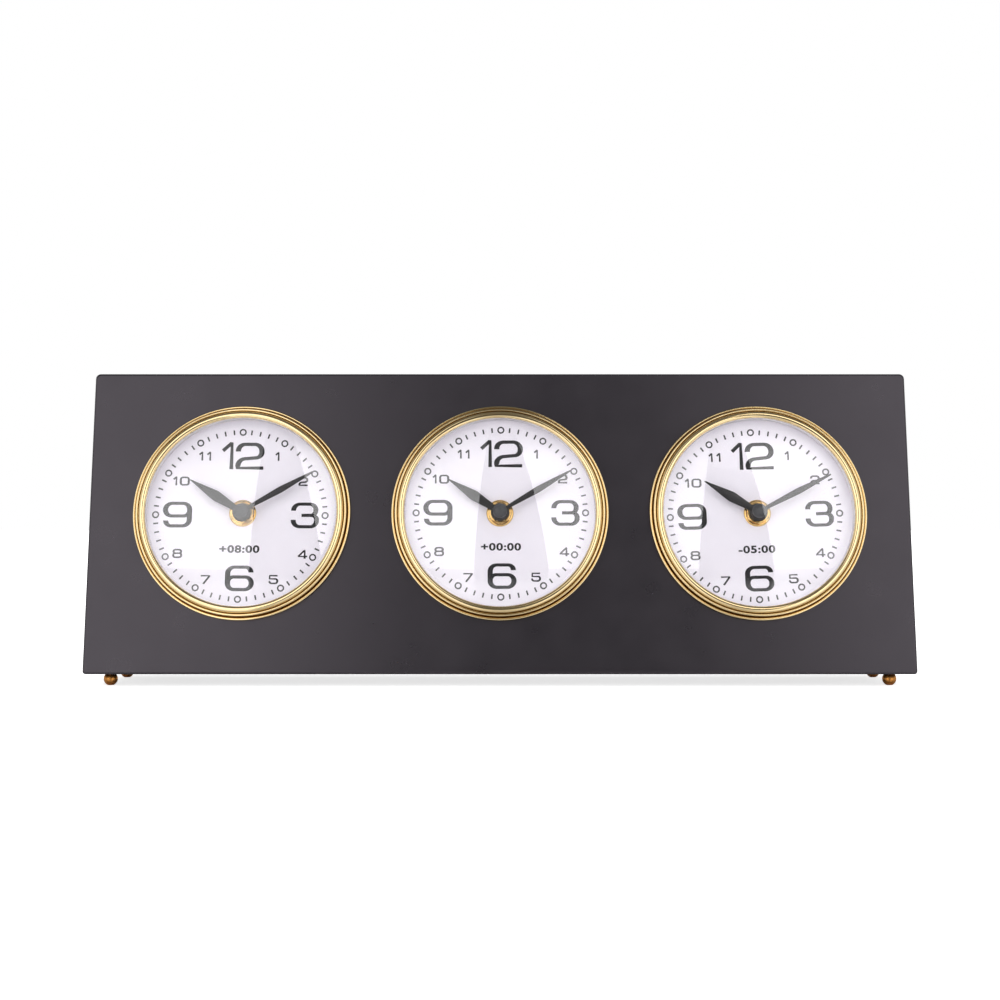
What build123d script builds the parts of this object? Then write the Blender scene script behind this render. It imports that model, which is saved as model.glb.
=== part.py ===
from build123d import *
import os
from math import cos, radians, sin, sqrt, tan

os.makedirs("parts", exist_ok=True)

# Three round quartz clocks set side by side in a low black case whose face leans back.
# Millimetres, +X to the right, +Y to the back, +Z up, origin on the floor under the case's middle.

# Case: its face is as large as the clocks and these margins round their bezels
face_lean = 10.5
margin_above = 16.7
margin_below = 25.8
end_margin = 21.5
clock_gap = 19.8
floor_gap = 6.3
panel_thickness = 9.0
top_corner_round = 2.5
bottom_corner_round = 1.5
edge_round = 1.2
back_thickness = 4.0
back_gap = 0.3
access_margin = 9.0

# Blocks, screws and feet of the case
block_side = 14.0
block_gap = 7.73
screw_length = 14.0
screw_shank_radius = 1.5
screw_head_radius = 3.0
screw_head_depth = 1.5
screw_slot_width = 0.8
screw_slot_depth = 0.6
foot_radius = 3.4
foot_flat_radius = 1.5
foot_inset = 10.9
foot_setback = 12.4
foot_collar_radius = 1.8
foot_collar_height = 0.4
foot_stud_radius = 1.5
foot_stud_length = 7.0

# Places of the clocks on the face, and their hands as they stand, in degrees after twelve
clocks = {
    "left": {"place": -1, "roll": -0.3, "hour": 301.8, "minute": 60.1},
    "centre": {"place": 0, "roll": 0.0, "hour": 302.8, "minute": 59.6},
    "right": {"place": 1, "roll": 1.5, "hour": 302.0, "minute": 64.2},
}

# Bezel, from its rim inwards: a low bead, a groove, a wall up to a second bead, and a wide roll
bezel_width = 6.5
bezel_skirt = 0.8
outer_bead_width = 1.2
outer_bead_height = 1.9
outer_groove_width = 0.35
outer_groove_height = 1.2
wall_slope = 0.2
inner_bead_width = 1.2
inner_bead_height = 4.1
inner_groove_width = 0.3
inner_groove_height = 3.5
roll_height = 5.4
lip_height = 4.4
lip_step = 0.2

# Lens and its gasket
lens_cover = 1.3
lens_gap = 0.15
lens_edge = 1.6
lens_rise = 7.0
gasket_thickness = 1.6

# Pan, fit band and dial
pan_sheet = 0.8
pan_depth = 7.8
pan_groove_width = 2.2
movement_gap = 4.002
flange_gap = 0.1
band_thickness = 0.9
band_width = 6.0
band_setback = 1.0
dial_depth = 2.5
dial_thickness = 0.5
dial_gap = 0.1
dial_bore_gap = 0.1

# Movement's fixing through the dial
bushing_radius = 3.9
bushing_bore = 2.8
cushion_thickness = 0.6
cushion_radius = 9.0
washer_thickness = 0.6
washer_radius = 6.7
nut_thickness = 2.0
nut_across_flats = 10.3
nut_chamfer = 0.5
thread_showing = 0.3

# Movement case
movement_depth = 16.0
movement_corner = 1.5
movement_wall = 1.2
movement_partition = 1.2
gear_room_drop = 10.5
cover_thickness = 1.6
inner_boss_radius = 4.4
inner_boss_depth = 0.9
post_radius = 1.2

# Battery and its contacts
battery_radius = 7.25
battery_length = 50.5
battery_nub_radius = 2.75
battery_nub_length = 1.2
battery_round = 0.6
battery_side_gap = 0.3
battery_floor_gap = 0.1
contact_room = 1.55
contact_sheet = 0.4
contact_width = 9.0
contact_height = 11.0
spring_width = 4.0

# Gears of the hands: tooth sizes are shares of the module
gear_distance = 11.0
cannon_teeth = 12
motion_wheel_teeth = 36
motion_pinion_teeth = 10
hour_wheel_teeth = 40
addendum_share = 0.8
dedendum_share = 1.15
tooth_sink_share = 0.3
tooth_root_share = 1.5
tooth_pitch_share = 1.3
tooth_tip_share = 0.5
cannon_thickness = 2.0
motion_wheel_thickness = 1.2
hour_wheel_thickness = 1.2
wheel_gap = 0.4
wheel_step_gap = 2.4
running_gap = 0.05
end_gap = 0.3

# Shafts of the hands
hour_pipe_radius = 2.75
hour_pipe_bore = 1.9
arbor_radius = 1.85
arbor_thread_radius = 1.4
arbor_thread_length = 2.2
arbor_pivot_radius = 1.0
arbor_pivot_length = 1.4
pivot_boss_radius = 2.5
pivot_boss_height = 2.4
setting_arbor_radius = 1.5
setting_pivot_radius = 0.75
setting_pivot_length = 0.9
setting_boss_radius = 2.0
setting_boss_height = 0.5
knob_radius = 6.0
knob_height = 4.0
knob_arbor_depth = 3.0
knob_grooves = 20
knob_groove_radius = 0.5

# Hands
hub_gap = 0.4
hour_hub_radius = 4.3
hour_hub_thickness = 0.6
hour_neck_width = 3.0
hour_neck_reach = 4.0
hour_belly_width = 5.0
hour_taper = 14.1
hour_tip_step = 9.5
hour_tip_width = 0.5
pipe_showing = 0.3
minute_gap = 0.7
minute_hub_radius = 3.9
minute_hub_thickness = 0.8
minute_neck_width = 1.6
minute_neck_reach = 3.5
minute_belly_width = 2.9
minute_taper = 17.3
minute_tip_gap = 7.8
minute_tip_width = 0.4
blade_thickness = 0.4
belly_round = 3.0
cap_radius = 3.4
cap_height = 3.8
cap_side_height = 2.6

# Circuit board, stator and coil
board_width = 12.0
board_height = 20.0
board_thickness = 0.8
board_drop = 8.4
board_gap = 1.0
board_rise = 5.5
chip_radius = 2.5
chip_height = 0.7
crystal_radius = 1.0
crystal_length = 6.0
stator_width = 11.6
stator_height = 23.0
stator_thickness = 0.9
stator_drop = 5.4
stator_gap = 2.2
stator_top_gap = 3.3
stator_yoke = 3.8
stator_core = 2.2
stator_arm = 3.0
rotor_hole_radius = 1.5
coil_width = 6.4
coil_height = 15.0
coil_flange = 0.8
coil_winding_margin = 0.7

# Sizes of a clock, worked out from its battery and movement outwards
bay_height = 2 * (battery_radius + battery_side_gap)
movement_width = battery_length + 2 * contact_room + 2 * movement_wall
movement_height = 2 * (movement_wall + bay_height + movement_partition + gear_room_drop)
movement_reach = sqrt(movement_width**2 + movement_height**2) / 2
pan_floor_radius = movement_reach + movement_gap + pan_sheet
pan_bore = pan_floor_radius + pan_groove_width
lip_radius = pan_bore - lip_step
lens_radius = lip_radius + lens_cover
bezel_radius = lip_radius + bezel_width
minute_tip_reach = pan_bore - minute_tip_gap
minute_belly_reach = minute_tip_reach - minute_taper
hour_tip_reach = minute_tip_reach - hour_tip_step
hour_belly_reach = hour_tip_reach - hour_taper
access_radius = movement_width / 2 + access_margin

# Sizes of the case, worked out from its clocks and their margins; the top blocks set its depth
lean = radians(face_lean)
clock_pitch = 2 * bezel_radius + clock_gap
clock_rise = margin_below + bezel_radius
face_height = clock_rise + bezel_radius + margin_above
case_width = 2 * (clock_pitch + bezel_radius + end_margin)
face_rise = face_height * cos(lean)
panel_run = panel_thickness / cos(lean)
edge_setback = edge_round * (tan(lean) + 1 / cos(lean) - 1)
lean_run = (face_rise - panel_thickness) * tan(lean)
case_depth = lean_run + panel_run - edge_setback + block_gap + block_side + back_thickness
front_y = -case_depth / 2 - edge_setback
back_y = case_depth / 2
back_inner_y = back_y - back_thickness
case_top = floor_gap + face_rise
foot_drop = sqrt(foot_radius**2 - foot_flat_radius**2)
base_bottom = foot_drop + foot_radius + foot_collar_height
base_top = base_bottom + panel_thickness
top_bottom = case_top - panel_thickness
inner_half_width = case_width / 2 - panel_thickness
face_out = Vector(0, -cos(lean), sin(lean))
face_up = Vector(0, sin(lean), cos(lean))
clock_middle = Vector(0, front_y, floor_gap) + face_up * clock_rise

# Heights out from the face, worked out from the sizes of a clock; behind the face they are negative
lens_back = pan_sheet + gasket_thickness
lens_front = lens_back + lens_edge
lens_land = lens_cover + lens_gap
flange_radius = bezel_radius - bezel_skirt - flange_gap
pan_radius = pan_bore + pan_sheet
hole_radius = pan_radius + band_thickness
dial_front = -dial_depth
dial_back = dial_front - dial_thickness
movement_front = dial_back - pan_sheet - cushion_thickness
movement_back = movement_front - movement_depth
room_front = movement_front - movement_wall
room_back = movement_back + cover_thickness
washer_front = dial_front + washer_thickness
nut_front = washer_front + nut_thickness
bushing_front = nut_front + thread_showing
hour_hub_back = bushing_front + hub_gap
hour_hub_front = hour_hub_back + hour_hub_thickness
pipe_front = hour_hub_front + pipe_showing
minute_hub_back = pipe_front + minute_gap
minute_hub_front = minute_hub_back + minute_hub_thickness
thread_front = minute_hub_front + arbor_thread_length
bore_radius = bushing_radius + dial_bore_gap

# The gear room and the battery bay share the movement case
room_half_width = movement_width / 2 - movement_wall
bay_bottom = movement_wall - movement_height / 2
bay_middle = bay_bottom + bay_height / 2
gear_room_bottom = bay_bottom + bay_height + movement_partition
gear_room_top = movement_height / 2 - movement_wall
gear_room_height = gear_room_top - gear_room_bottom
gear_room_middle = gear_room_bottom + gear_room_height / 2
cover_bottom = gear_room_bottom - movement_partition / 2
battery_out = room_front - battery_floor_gap - battery_radius
board_middle_x = board_gap + board_width / 2 - room_half_width
board_middle_y = gear_room_bottom + board_rise + board_height / 2
stator_middle_x = room_half_width - stator_gap - stator_width / 2
stator_middle_y = gear_room_top - stator_top_gap - stator_height / 2

# Levels of the gears
inner_boss_back = room_front - inner_boss_depth
hour_wheel_front = inner_boss_back - end_gap
hour_wheel_back = hour_wheel_front - hour_wheel_thickness
motion_pinion_front = hour_wheel_front + wheel_gap / 2
motion_wheel_front = hour_wheel_back - wheel_step_gap
motion_wheel_back = motion_wheel_front - motion_wheel_thickness
cannon_middle = (motion_wheel_front + motion_wheel_back) / 2
setting_boss_back = room_front - setting_boss_height
pivot_boss_front = room_back + pivot_boss_height
arbor_back = pivot_boss_front + end_gap
knob_front = movement_back - end_gap
cannon_module = 2 * gear_distance / (cannon_teeth + motion_wheel_teeth)
motion_module = 2 * gear_distance / (motion_pinion_teeth + hour_wheel_teeth)


def turned(plane, degrees):
    """The same plane turned anticlockwise about its own normal."""
    across = plane.x_dir.rotate(Axis((0, 0, 0), plane.z_dir), degrees)
    return Plane(origin=plane.origin, x_dir=across, z_dir=plane.z_dir)


def clock_seat(clock):
    """The clock's own plane: its centre on the case's face, +X to three o'clock, +Y to twelve."""
    middle = clock_middle + Vector(clock["place"] * clock_pitch, 0, 0)
    return turned(Plane(origin=middle, x_dir=(1, 0, 0), z_dir=face_out), clock["roll"])


seats = {name: clock_seat(clock) for name, clock in clocks.items()}


def section(seat):
    """A plane through the clock's axis: +X is the radius and +Y the height out from the face."""
    return Plane(origin=seat.origin, x_dir=seat.x_dir, z_dir=-seat.y_dir)


def spindle(seat):
    return Axis(seat.origin, seat.z_dir)


def setting_seat(seat):
    """The plane of the second arbor, on the twelve o'clock side of the hands' arbor."""
    return Plane(origin=seat.origin + seat.y_dir * gear_distance, x_dir=seat.x_dir, z_dir=seat.z_dir)


def add_turned(seat, points):
    """Adds a turned shape: its half section, in radius and height, goes once round the seat's axis."""
    with BuildSketch(section(seat)) as half:
        with BuildLine():
            Polyline(*points, close=True)
        make_face()
    revolve(half.sketch, axis=spindle(seat))


def add_ring(seat, back, front, outer, inner=0):
    """Adds a disc or a ring between two heights."""
    add_turned(seat, [(inner, back), (outer, back), (outer, front), (inner, front)])


def cut_bore(seat, back, front, radius):
    with BuildSketch(seat.offset(back)) as bore:
        Circle(radius)
    extrude(bore.sketch, amount=front - back, mode=Mode.SUBTRACT)


def add_gear(seat, teeth, module, first_tooth, back, front):
    """Adds a gear whose first tooth points first_tooth degrees round from three o'clock."""
    pitch = teeth * module / 2
    root = pitch - dedendum_share * module
    sunk = root - tooth_sink_share * module
    tip = pitch + addendum_share * module
    root_half = tooth_root_share * module / 2
    pitch_half = tooth_pitch_share * module / 2
    tip_half = tooth_tip_share * module / 2
    with BuildSketch(seat.offset(back)) as gear:
        Circle(root)
        with PolarLocations(0, teeth, start_angle=first_tooth):
            Polygon(
                (sunk, -root_half),
                (root, -root_half),
                (pitch, -pitch_half),
                (tip, -tip_half),
                (tip, tip_half),
                (pitch, pitch_half),
                (root, root_half),
                (sunk, root_half),
                align=None,
            )
    extrude(gear.sketch, amount=front - back)


def finish(piece, name):
    piece.part.label = name
    export_step(piece.part, f"parts/{name}.step")


def face_back_y(height):
    """Where the rear of the leaning face panel is at a height above the floor."""
    return front_y + (height - floor_gap) * tan(lean) + panel_run


def make_front_panel():
    """The face: top and bottom edges are cut level, and the edges in view are rounded."""
    with BuildPart() as panel:
        with BuildSketch(Plane.YZ.offset(-case_width / 2)):
            with BuildLine():
                Polyline(
                    (front_y, floor_gap),
                    (face_back_y(floor_gap), floor_gap),
                    (face_back_y(case_top), case_top),
                    (front_y + face_height * sin(lean), case_top),
                    close=True,
                )
            make_face()
        extrude(amount=case_width)
        corners = panel.edges().filter_by(Axis.Y).group_by(Axis.Z)
        fillet(corners[-1], radius=top_corner_round)
        corners = panel.edges().filter_by(Axis.Y).group_by(Axis.Z)
        fillet(corners[0], radius=bottom_corner_round)
        face = panel.faces().sort_by(Axis((0, 0, 0), face_out))[-1]
        fillet(face.edges(), radius=edge_round)
        for seat in seats.values():
            cut_bore(seat, -panel_thickness, 0, hole_radius)
    return panel


def make_level_board(low, high, corner_round):
    """The top or the base: it lies between the end panels and meets the leaning face panel."""
    with BuildPart() as board:
        with BuildSketch(Plane.YZ.offset(-inner_half_width)):
            with BuildLine():
                Polyline(
                    (face_back_y(low), low),
                    (back_y, low),
                    (back_y, high),
                    (face_back_y(high), high),
                    close=True,
                )
            make_face()
        extrude(amount=2 * inner_half_width)
        if corner_round:
            rear = board.edges().filter_by(Axis.X).group_by(Axis.Z)[-1].sort_by(Axis.Y)[-1]
            fillet(rear, radius=corner_round)
    return board


def make_base_panel():
    """The base board, with a blind hole for each foot's stud."""
    base = make_level_board(base_bottom, base_top, 0)
    with BuildPart() as panel:
        add(base.part)
        with BuildSketch(Plane.XY.offset(base_bottom)) as studs:
            with Locations(*foot_places()):
                Circle(foot_stud_radius)
        extrude(studs.sketch, amount=foot_stud_length, mode=Mode.SUBTRACT)
    return panel


def make_end_panel(side):
    """One end of the case: side is -1 for the left and 1 for the right."""
    with BuildPart() as panel:
        with BuildSketch(Plane.YZ.offset(side * inner_half_width)):
            with BuildLine():
                Polyline(
                    (face_back_y(floor_gap), floor_gap),
                    (back_y, floor_gap),
                    (back_y, case_top),
                    (face_back_y(case_top), case_top),
                    close=True,
                )
            make_face()
        extrude(amount=side * panel_thickness)
        outer = panel.faces().sort_by(Axis.X)[0 if side < 0 else -1]
        level = outer.edges().filter_by(Axis.Y).sort_by(Axis.Z)
        fillet(level[-1], radius=top_corner_round)
        outer = panel.faces().sort_by(Axis.X)[0 if side < 0 else -1]
        level = outer.edges().filter_by(Axis.Y).sort_by(Axis.Z)
        fillet(level[0], radius=bottom_corner_round)
    return panel


def foot_places():
    x = case_width / 2 - foot_inset
    y = case_depth / 2 - foot_setback
    return [(-x, -y), (x, -y), (-x, y), (x, y)]


def screw_places():
    """Places of the back's screws, as x and height: three along the top and three along the base."""
    x = inner_half_width - block_side / 2
    low = base_top + block_side / 2
    high = top_bottom - block_side / 2
    return [(across, height) for height in (low, high) for across in (-x, 0, x)]


def back_plane(y):
    """An upright plane at y that faces the back; its +X is to the left and its +Y is up."""
    return Plane(origin=(0, y, 0), x_dir=(-1, 0, 0), z_dir=(0, 1, 0))


def make_back_panel():
    """The thin back, let in between the boards, with a round access hole behind each movement."""
    access_height = (clock_middle + face_out * movement_back).Z
    low = base_top + back_gap
    high = top_bottom - back_gap
    with BuildPart() as panel:
        with BuildSketch(back_plane(back_inner_y)):
            with Locations((0, (low + high) / 2)):
                Rectangle(2 * (inner_half_width - back_gap), high - low)
            with Locations(*[(clock["place"] * clock_pitch, access_height) for clock in clocks.values()]):
                Circle(access_radius, mode=Mode.SUBTRACT)
            with Locations(*screw_places()):
                Circle(screw_shank_radius, mode=Mode.SUBTRACT)
        extrude(amount=back_thickness)
        for place in screw_places():
            with BuildSketch(back_plane(back_y)) as mouth:
                with Locations(place):
                    Circle(screw_head_radius)
            with BuildSketch(back_plane(back_y - screw_head_depth)) as throat:
                with Locations(place):
                    Circle(screw_shank_radius)
            loft([throat.sketch, mouth.sketch], mode=Mode.SUBTRACT)
    return panel


def make_screw_blocks():
    """The wood blocks behind the back that its screws bite into."""
    depth = screw_length - back_thickness
    with BuildPart() as blocks:
        for place in screw_places():
            with BuildSketch(back_plane(back_inner_y - block_side)) as square:
                with Locations(place):
                    Rectangle(block_side, block_side)
            extrude(square.sketch, amount=block_side)
            with BuildSketch(back_plane(back_inner_y - depth)) as pilot:
                with Locations(place):
                    Circle(screw_shank_radius)
            extrude(pilot.sketch, amount=depth, mode=Mode.SUBTRACT)
    return blocks


def make_back_screws():
    """Countersunk screws with a crossed slot."""
    with BuildPart() as screws:
        for across, height in screw_places():
            seat = Plane(origin=(-across, back_y, height), x_dir=(1, 0, 0), z_dir=(0, 1, 0))
            profile = [
                (0, -screw_length),
                (screw_shank_radius, -screw_length),
                (screw_shank_radius, -screw_head_depth),
                (screw_head_radius, 0),
                (0, 0),
            ]
            add_turned(seat, profile)
            with BuildSketch(seat.offset(-screw_slot_depth)) as cross:
                Rectangle(2 * screw_shank_radius + screw_slot_width, screw_slot_width)
                Rectangle(screw_slot_width, 2 * screw_shank_radius + screw_slot_width)
            extrude(cross.sketch, amount=screw_slot_depth, mode=Mode.SUBTRACT)
    return screws


def make_ball_feet():
    """Four turned balls, each with a small flat to stand on, a collar and a stud into the base."""
    with BuildPart() as feet:
        for x, y in foot_places():
            seat = Plane(origin=(x, y, 0), x_dir=(1, 0, 0), z_dir=(0, 0, 1))
            collar_low = foot_drop + sqrt(foot_radius**2 - foot_collar_radius**2)
            with BuildSketch(section(seat)) as half:
                with BuildLine():
                    Line((0, 0), (foot_flat_radius, 0))
                    ThreePointArc(
                        (foot_flat_radius, 0),
                        (foot_radius, foot_drop),
                        (foot_collar_radius, collar_low),
                    )
                    Polyline(
                        (foot_collar_radius, collar_low),
                        (foot_collar_radius, base_bottom),
                        (foot_stud_radius, base_bottom),
                        (foot_stud_radius, base_bottom + foot_stud_length),
                        (0, base_bottom + foot_stud_length),
                        (0, 0),
                    )
                make_face()
            revolve(half.sketch, axis=spindle(seat))
    return feet


def make_dial_pan(seat):
    """A pressed pan: flange on the case's face, wall in the hole, and a raised floor for the dial."""
    with BuildPart() as pan:
        add_turned(
            seat,
            [
                (bore_radius, dial_back - pan_sheet),
                (pan_floor_radius - pan_sheet, dial_back - pan_sheet),
                (pan_floor_radius - pan_sheet, -pan_depth),
                (pan_radius, -pan_depth),
                (pan_radius, 0),
                (flange_radius, 0),
                (flange_radius, pan_sheet),
                (pan_bore, pan_sheet),
                (pan_bore, pan_sheet - pan_depth),
                (pan_floor_radius, pan_sheet - pan_depth),
                (pan_floor_radius, dial_back),
                (bore_radius, dial_back),
            ],
        )
    return pan


def make_fit_bands():
    """Rubber bands that grip each pan in its hole."""
    with BuildPart() as bands:
        for seat in seats.values():
            add_ring(seat, -band_setback - band_width, -band_setback, hole_radius, pan_radius)
    return bands


def make_bezel(seat):
    """A spun ring: two beads in steps, then a wide roll whose lip holds the lens."""
    seat_radius = lens_radius + lens_gap
    bead_end = bezel_radius - outer_bead_width
    wall_foot = bead_end - outer_groove_width
    second_start = wall_foot - wall_slope
    second_end = second_start - inner_bead_width
    roll_start = second_end - inner_groove_width
    with BuildPart() as bezel:
        with BuildSketch(section(seat)) as half:
            with BuildLine():
                Line((bezel_radius, 0), (bezel_radius, outer_groove_height))
                ThreePointArc(
                    (bezel_radius, outer_groove_height),
                    (bezel_radius - outer_bead_width / 2, outer_bead_height),
                    (bead_end, outer_groove_height),
                )
                Polyline(
                    (bead_end, outer_groove_height),
                    (wall_foot, outer_groove_height),
                    (second_start, inner_groove_height),
                )
                ThreePointArc(
                    (second_start, inner_groove_height),
                    (second_start - inner_bead_width / 2, inner_bead_height),
                    (second_end, inner_groove_height),
                )
                Line((second_end, inner_groove_height), (roll_start, inner_groove_height))
                ThreePointArc(
                    (roll_start, inner_groove_height),
                    ((roll_start + lip_radius) / 2, roll_height),
                    (lip_radius, lip_height),
                )
                Polyline(
                    (lip_radius, lip_height),
                    (lip_radius, lens_front),
                    (seat_radius, lens_front),
                    (seat_radius, pan_sheet),
                    (flange_radius + flange_gap, pan_sheet),
                    (flange_radius + flange_gap, 0),
                    (bezel_radius, 0),
                )
            make_face()
        revolve(half.sketch, axis=spindle(seat))
    return bezel


def make_lens(seat):
    """A domed glass of even thickness with a flat edge under the bezel's lip."""
    crown_radius = lens_radius - lens_land
    with BuildPart() as lens:
        with BuildSketch(section(seat)) as half:
            with BuildLine():
                TangentArc((0, lens_back + lens_rise), (crown_radius, lens_back), tangent=(1, 0))
                Polyline(
                    (crown_radius, lens_back),
                    (lens_radius, lens_back),
                    (lens_radius, lens_front),
                    (crown_radius, lens_front),
                )
                TangentArc((0, lens_front + lens_rise), (crown_radius, lens_front), tangent=(1, 0))
                Line((0, lens_front + lens_rise), (0, lens_back + lens_rise))
            make_face()
        revolve(half.sketch, axis=spindle(seat))
    return lens


def make_lens_gaskets():
    with BuildPart() as gaskets:
        for seat in seats.values():
            add_ring(seat, pan_sheet, lens_back, lens_radius, pan_bore)
    return gaskets


def make_dial(seat):
    with BuildPart() as dial:
        add_ring(seat, dial_back, dial_front, pan_bore - dial_gap, bore_radius)
    return dial


def make_dial_washers():
    with BuildPart() as washers:
        for seat in seats.values():
            add_ring(seat, dial_front, washer_front, washer_radius, bushing_radius)
    return washers


def make_dial_nuts():
    """Hexagon nuts with their front corners turned off."""
    with BuildPart() as nuts:
        for seat in seats.values():
            corner_radius = nut_across_flats / sqrt(3)
            with BuildSketch(seat.offset(washer_front)) as hexagon:
                RegularPolygon(nut_across_flats / 2, 6, major_radius=False)
                Circle(bushing_radius, mode=Mode.SUBTRACT)
            extrude(hexagon.sketch, amount=nut_thickness)
            with BuildSketch(section(seat)) as turned_off:
                with BuildLine():
                    Polyline(
                        (nut_across_flats / 2, nut_front),
                        (corner_radius, nut_front - nut_chamfer),
                        (corner_radius + nut_chamfer, nut_front - nut_chamfer),
                        (corner_radius + nut_chamfer, nut_front),
                        close=True,
                    )
                make_face()
            revolve(turned_off.sketch, axis=spindle(seat), mode=Mode.SUBTRACT)
    return nuts


def make_cushion_washers():
    with BuildPart() as cushions:
        for seat in seats.values():
            add_ring(seat, movement_front, movement_front + cushion_thickness, cushion_radius, bore_radius)
    return cushions


def board_posts():
    """Places of the two posts under the circuit board."""
    reach = board_height / 2 - 2 * post_radius
    return [(board_middle_x, board_middle_y - reach), (board_middle_x, board_middle_y + reach)]


def stator_posts():
    """Places of the two posts under the stator, behind its arms on the yoke's side."""
    x = stator_middle_x - stator_width / 2 + stator_yoke / 2
    reach = stator_height / 2 - stator_arm / 2
    return [(x, stator_middle_y - reach), (x, stator_middle_y + reach)]


def make_movement_housing(seat):
    """The movement's case: a box open at the back, with the threaded bushing in front."""
    with BuildPart() as housing:
        with BuildSketch(seat.offset(movement_back)) as outline:
            RectangleRounded(movement_width, movement_height, movement_corner)
        extrude(outline.sketch, amount=movement_depth)
        with BuildSketch(seat.offset(movement_back)) as rooms:
            with Locations((0, gear_room_middle)):
                Rectangle(2 * room_half_width, gear_room_height)
            with Locations((0, bay_middle)):
                Rectangle(2 * room_half_width, bay_height)
        extrude(rooms.sketch, amount=movement_depth - movement_wall, mode=Mode.SUBTRACT)
        with BuildSketch(seat.offset(movement_back)) as cover_step:
            with Locations((0, (cover_bottom + movement_height) / 2)):
                Rectangle(movement_width, movement_height - cover_bottom)
        extrude(cover_step.sketch, amount=cover_thickness, mode=Mode.SUBTRACT)
        with BuildSketch(seat.offset(room_front - board_drop)) as long_posts:
            with Locations(*board_posts()):
                Circle(post_radius)
        extrude(long_posts.sketch, amount=board_drop)
        with BuildSketch(seat.offset(room_front - stator_drop)) as short_posts:
            with Locations(*stator_posts()):
                Circle(post_radius)
        extrude(short_posts.sketch, amount=stator_drop)
        with BuildSketch(seat.offset(movement_front)) as bushing:
            Circle(bushing_radius)
        extrude(bushing.sketch, amount=bushing_front - movement_front)
        with BuildSketch(seat.offset(inner_boss_back)) as inner_boss:
            Circle(inner_boss_radius)
        extrude(inner_boss.sketch, amount=inner_boss_depth)
        with BuildSketch(setting_seat(seat).offset(setting_boss_back)) as setting_boss:
            Circle(setting_boss_radius)
        extrude(setting_boss.sketch, amount=setting_boss_height)
        cut_bore(seat, inner_boss_back, bushing_front, bushing_bore)
        pivot_end = motion_pinion_front + setting_pivot_length + end_gap
        cut_bore(setting_seat(seat), setting_boss_back, pivot_end, setting_pivot_radius + running_gap)
    return housing


def make_movement_cover(seat):
    """The cover over the gear room, with the rear bearing of the hands and the setting arbor's hole."""
    with BuildPart() as cover:
        with BuildSketch(seat.offset(movement_back)) as plate:
            RectangleRounded(movement_width, movement_height, movement_corner)
            with Locations((0, (cover_bottom - movement_height) / 2)):
                Rectangle(movement_width, movement_height + cover_bottom, mode=Mode.SUBTRACT)
        extrude(plate.sketch, amount=cover_thickness)
        with BuildSketch(seat.offset(room_back)) as boss:
            Circle(pivot_boss_radius)
        extrude(boss.sketch, amount=pivot_boss_height)
        pivot_end = arbor_back - arbor_pivot_length - end_gap
        cut_bore(seat, pivot_end, pivot_boss_front, arbor_pivot_radius + running_gap)
        cut_bore(setting_seat(seat), movement_back, room_back, setting_arbor_radius + running_gap)
    return cover


def battery_axis_plane(seat, x):
    """A plane across the battery at x: +X is towards twelve and +Y out from the face."""
    origin = seat.origin + seat.x_dir * x + seat.y_dir * bay_middle + seat.z_dir * battery_out
    return Plane(origin=origin, x_dir=seat.y_dir, z_dir=seat.x_dir)


def make_battery(seat):
    """One AA cell, with its raised end against the contact on the three o'clock side."""
    end_x = room_half_width - contact_sheet
    body_length = battery_length - battery_nub_length
    with BuildPart() as battery:
        with BuildSketch(battery_axis_plane(seat, end_x - battery_length)) as body:
            Circle(battery_radius)
        extrude(body.sketch, amount=body_length)
        fillet(battery.edges().filter_by(GeomType.CIRCLE), radius=battery_round)
        with BuildSketch(battery_axis_plane(seat, end_x - battery_nub_length)) as nub:
            Circle(battery_nub_radius)
        extrude(nub.sketch, amount=battery_nub_length)
    return battery


def make_battery_contacts():
    """A flat contact at one end of each bay and a bowed spring contact at the other."""
    spring_reach = 2 * room_half_width - battery_length - 2 * contact_sheet
    with BuildPart() as contacts:
        for seat in seats.values():
            for x in (-room_half_width, room_half_width - contact_sheet):
                with BuildSketch(battery_axis_plane(seat, x)) as plate:
                    Rectangle(contact_width, contact_height)
                extrude(plate.sketch, amount=contact_sheet)
            bow = battery_axis_plane(seat, contact_sheet - room_half_width)
            side = Plane(origin=bow.origin, x_dir=bow.z_dir, z_dir=bow.y_dir)
            half = contact_width / 2
            with BuildSketch(side.offset(-spring_width / 2)) as strip:
                with BuildLine():
                    ThreePointArc((0, -half), (spring_reach, 0), (0, half))
                    Line((0, half), (0, half - contact_sheet))
                    ThreePointArc(
                        (0, half - contact_sheet),
                        (spring_reach - contact_sheet, 0),
                        (0, contact_sheet - half),
                    )
                    Line((0, contact_sheet - half), (0, -half))
                make_face()
            extrude(strip.sketch, amount=spring_width)
    return contacts


def make_circuit_boards():
    """Each board carries a round chip cover and a small crystal."""
    board_front = room_front - board_drop
    board_back = board_front - board_thickness
    with BuildPart() as boards:
        for seat in seats.values():
            with BuildSketch(seat.offset(board_back)) as board:
                with Locations((board_middle_x, board_middle_y)):
                    Rectangle(board_width, board_height)
            extrude(board.sketch, amount=board_thickness)
            with BuildSketch(seat.offset(board_back - chip_height)) as chip:
                with Locations((board_middle_x, board_middle_y - board_height / 4)):
                    Circle(chip_radius)
            extrude(chip.sketch, amount=chip_height)
            low = board_middle_y + board_height / 4 - crystal_length / 2
            origin = seat.origin + seat.x_dir * board_middle_x + seat.y_dir * low
            origin = origin + seat.z_dir * (board_back - crystal_radius / 2)
            with BuildSketch(Plane(origin=origin, x_dir=seat.x_dir, z_dir=seat.y_dir)) as crystal:
                Circle(crystal_radius)
            extrude(crystal.sketch, amount=crystal_length)
    return boards


def stator_core_x():
    return stator_middle_x + stator_width / 2 - stator_core / 2


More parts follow.
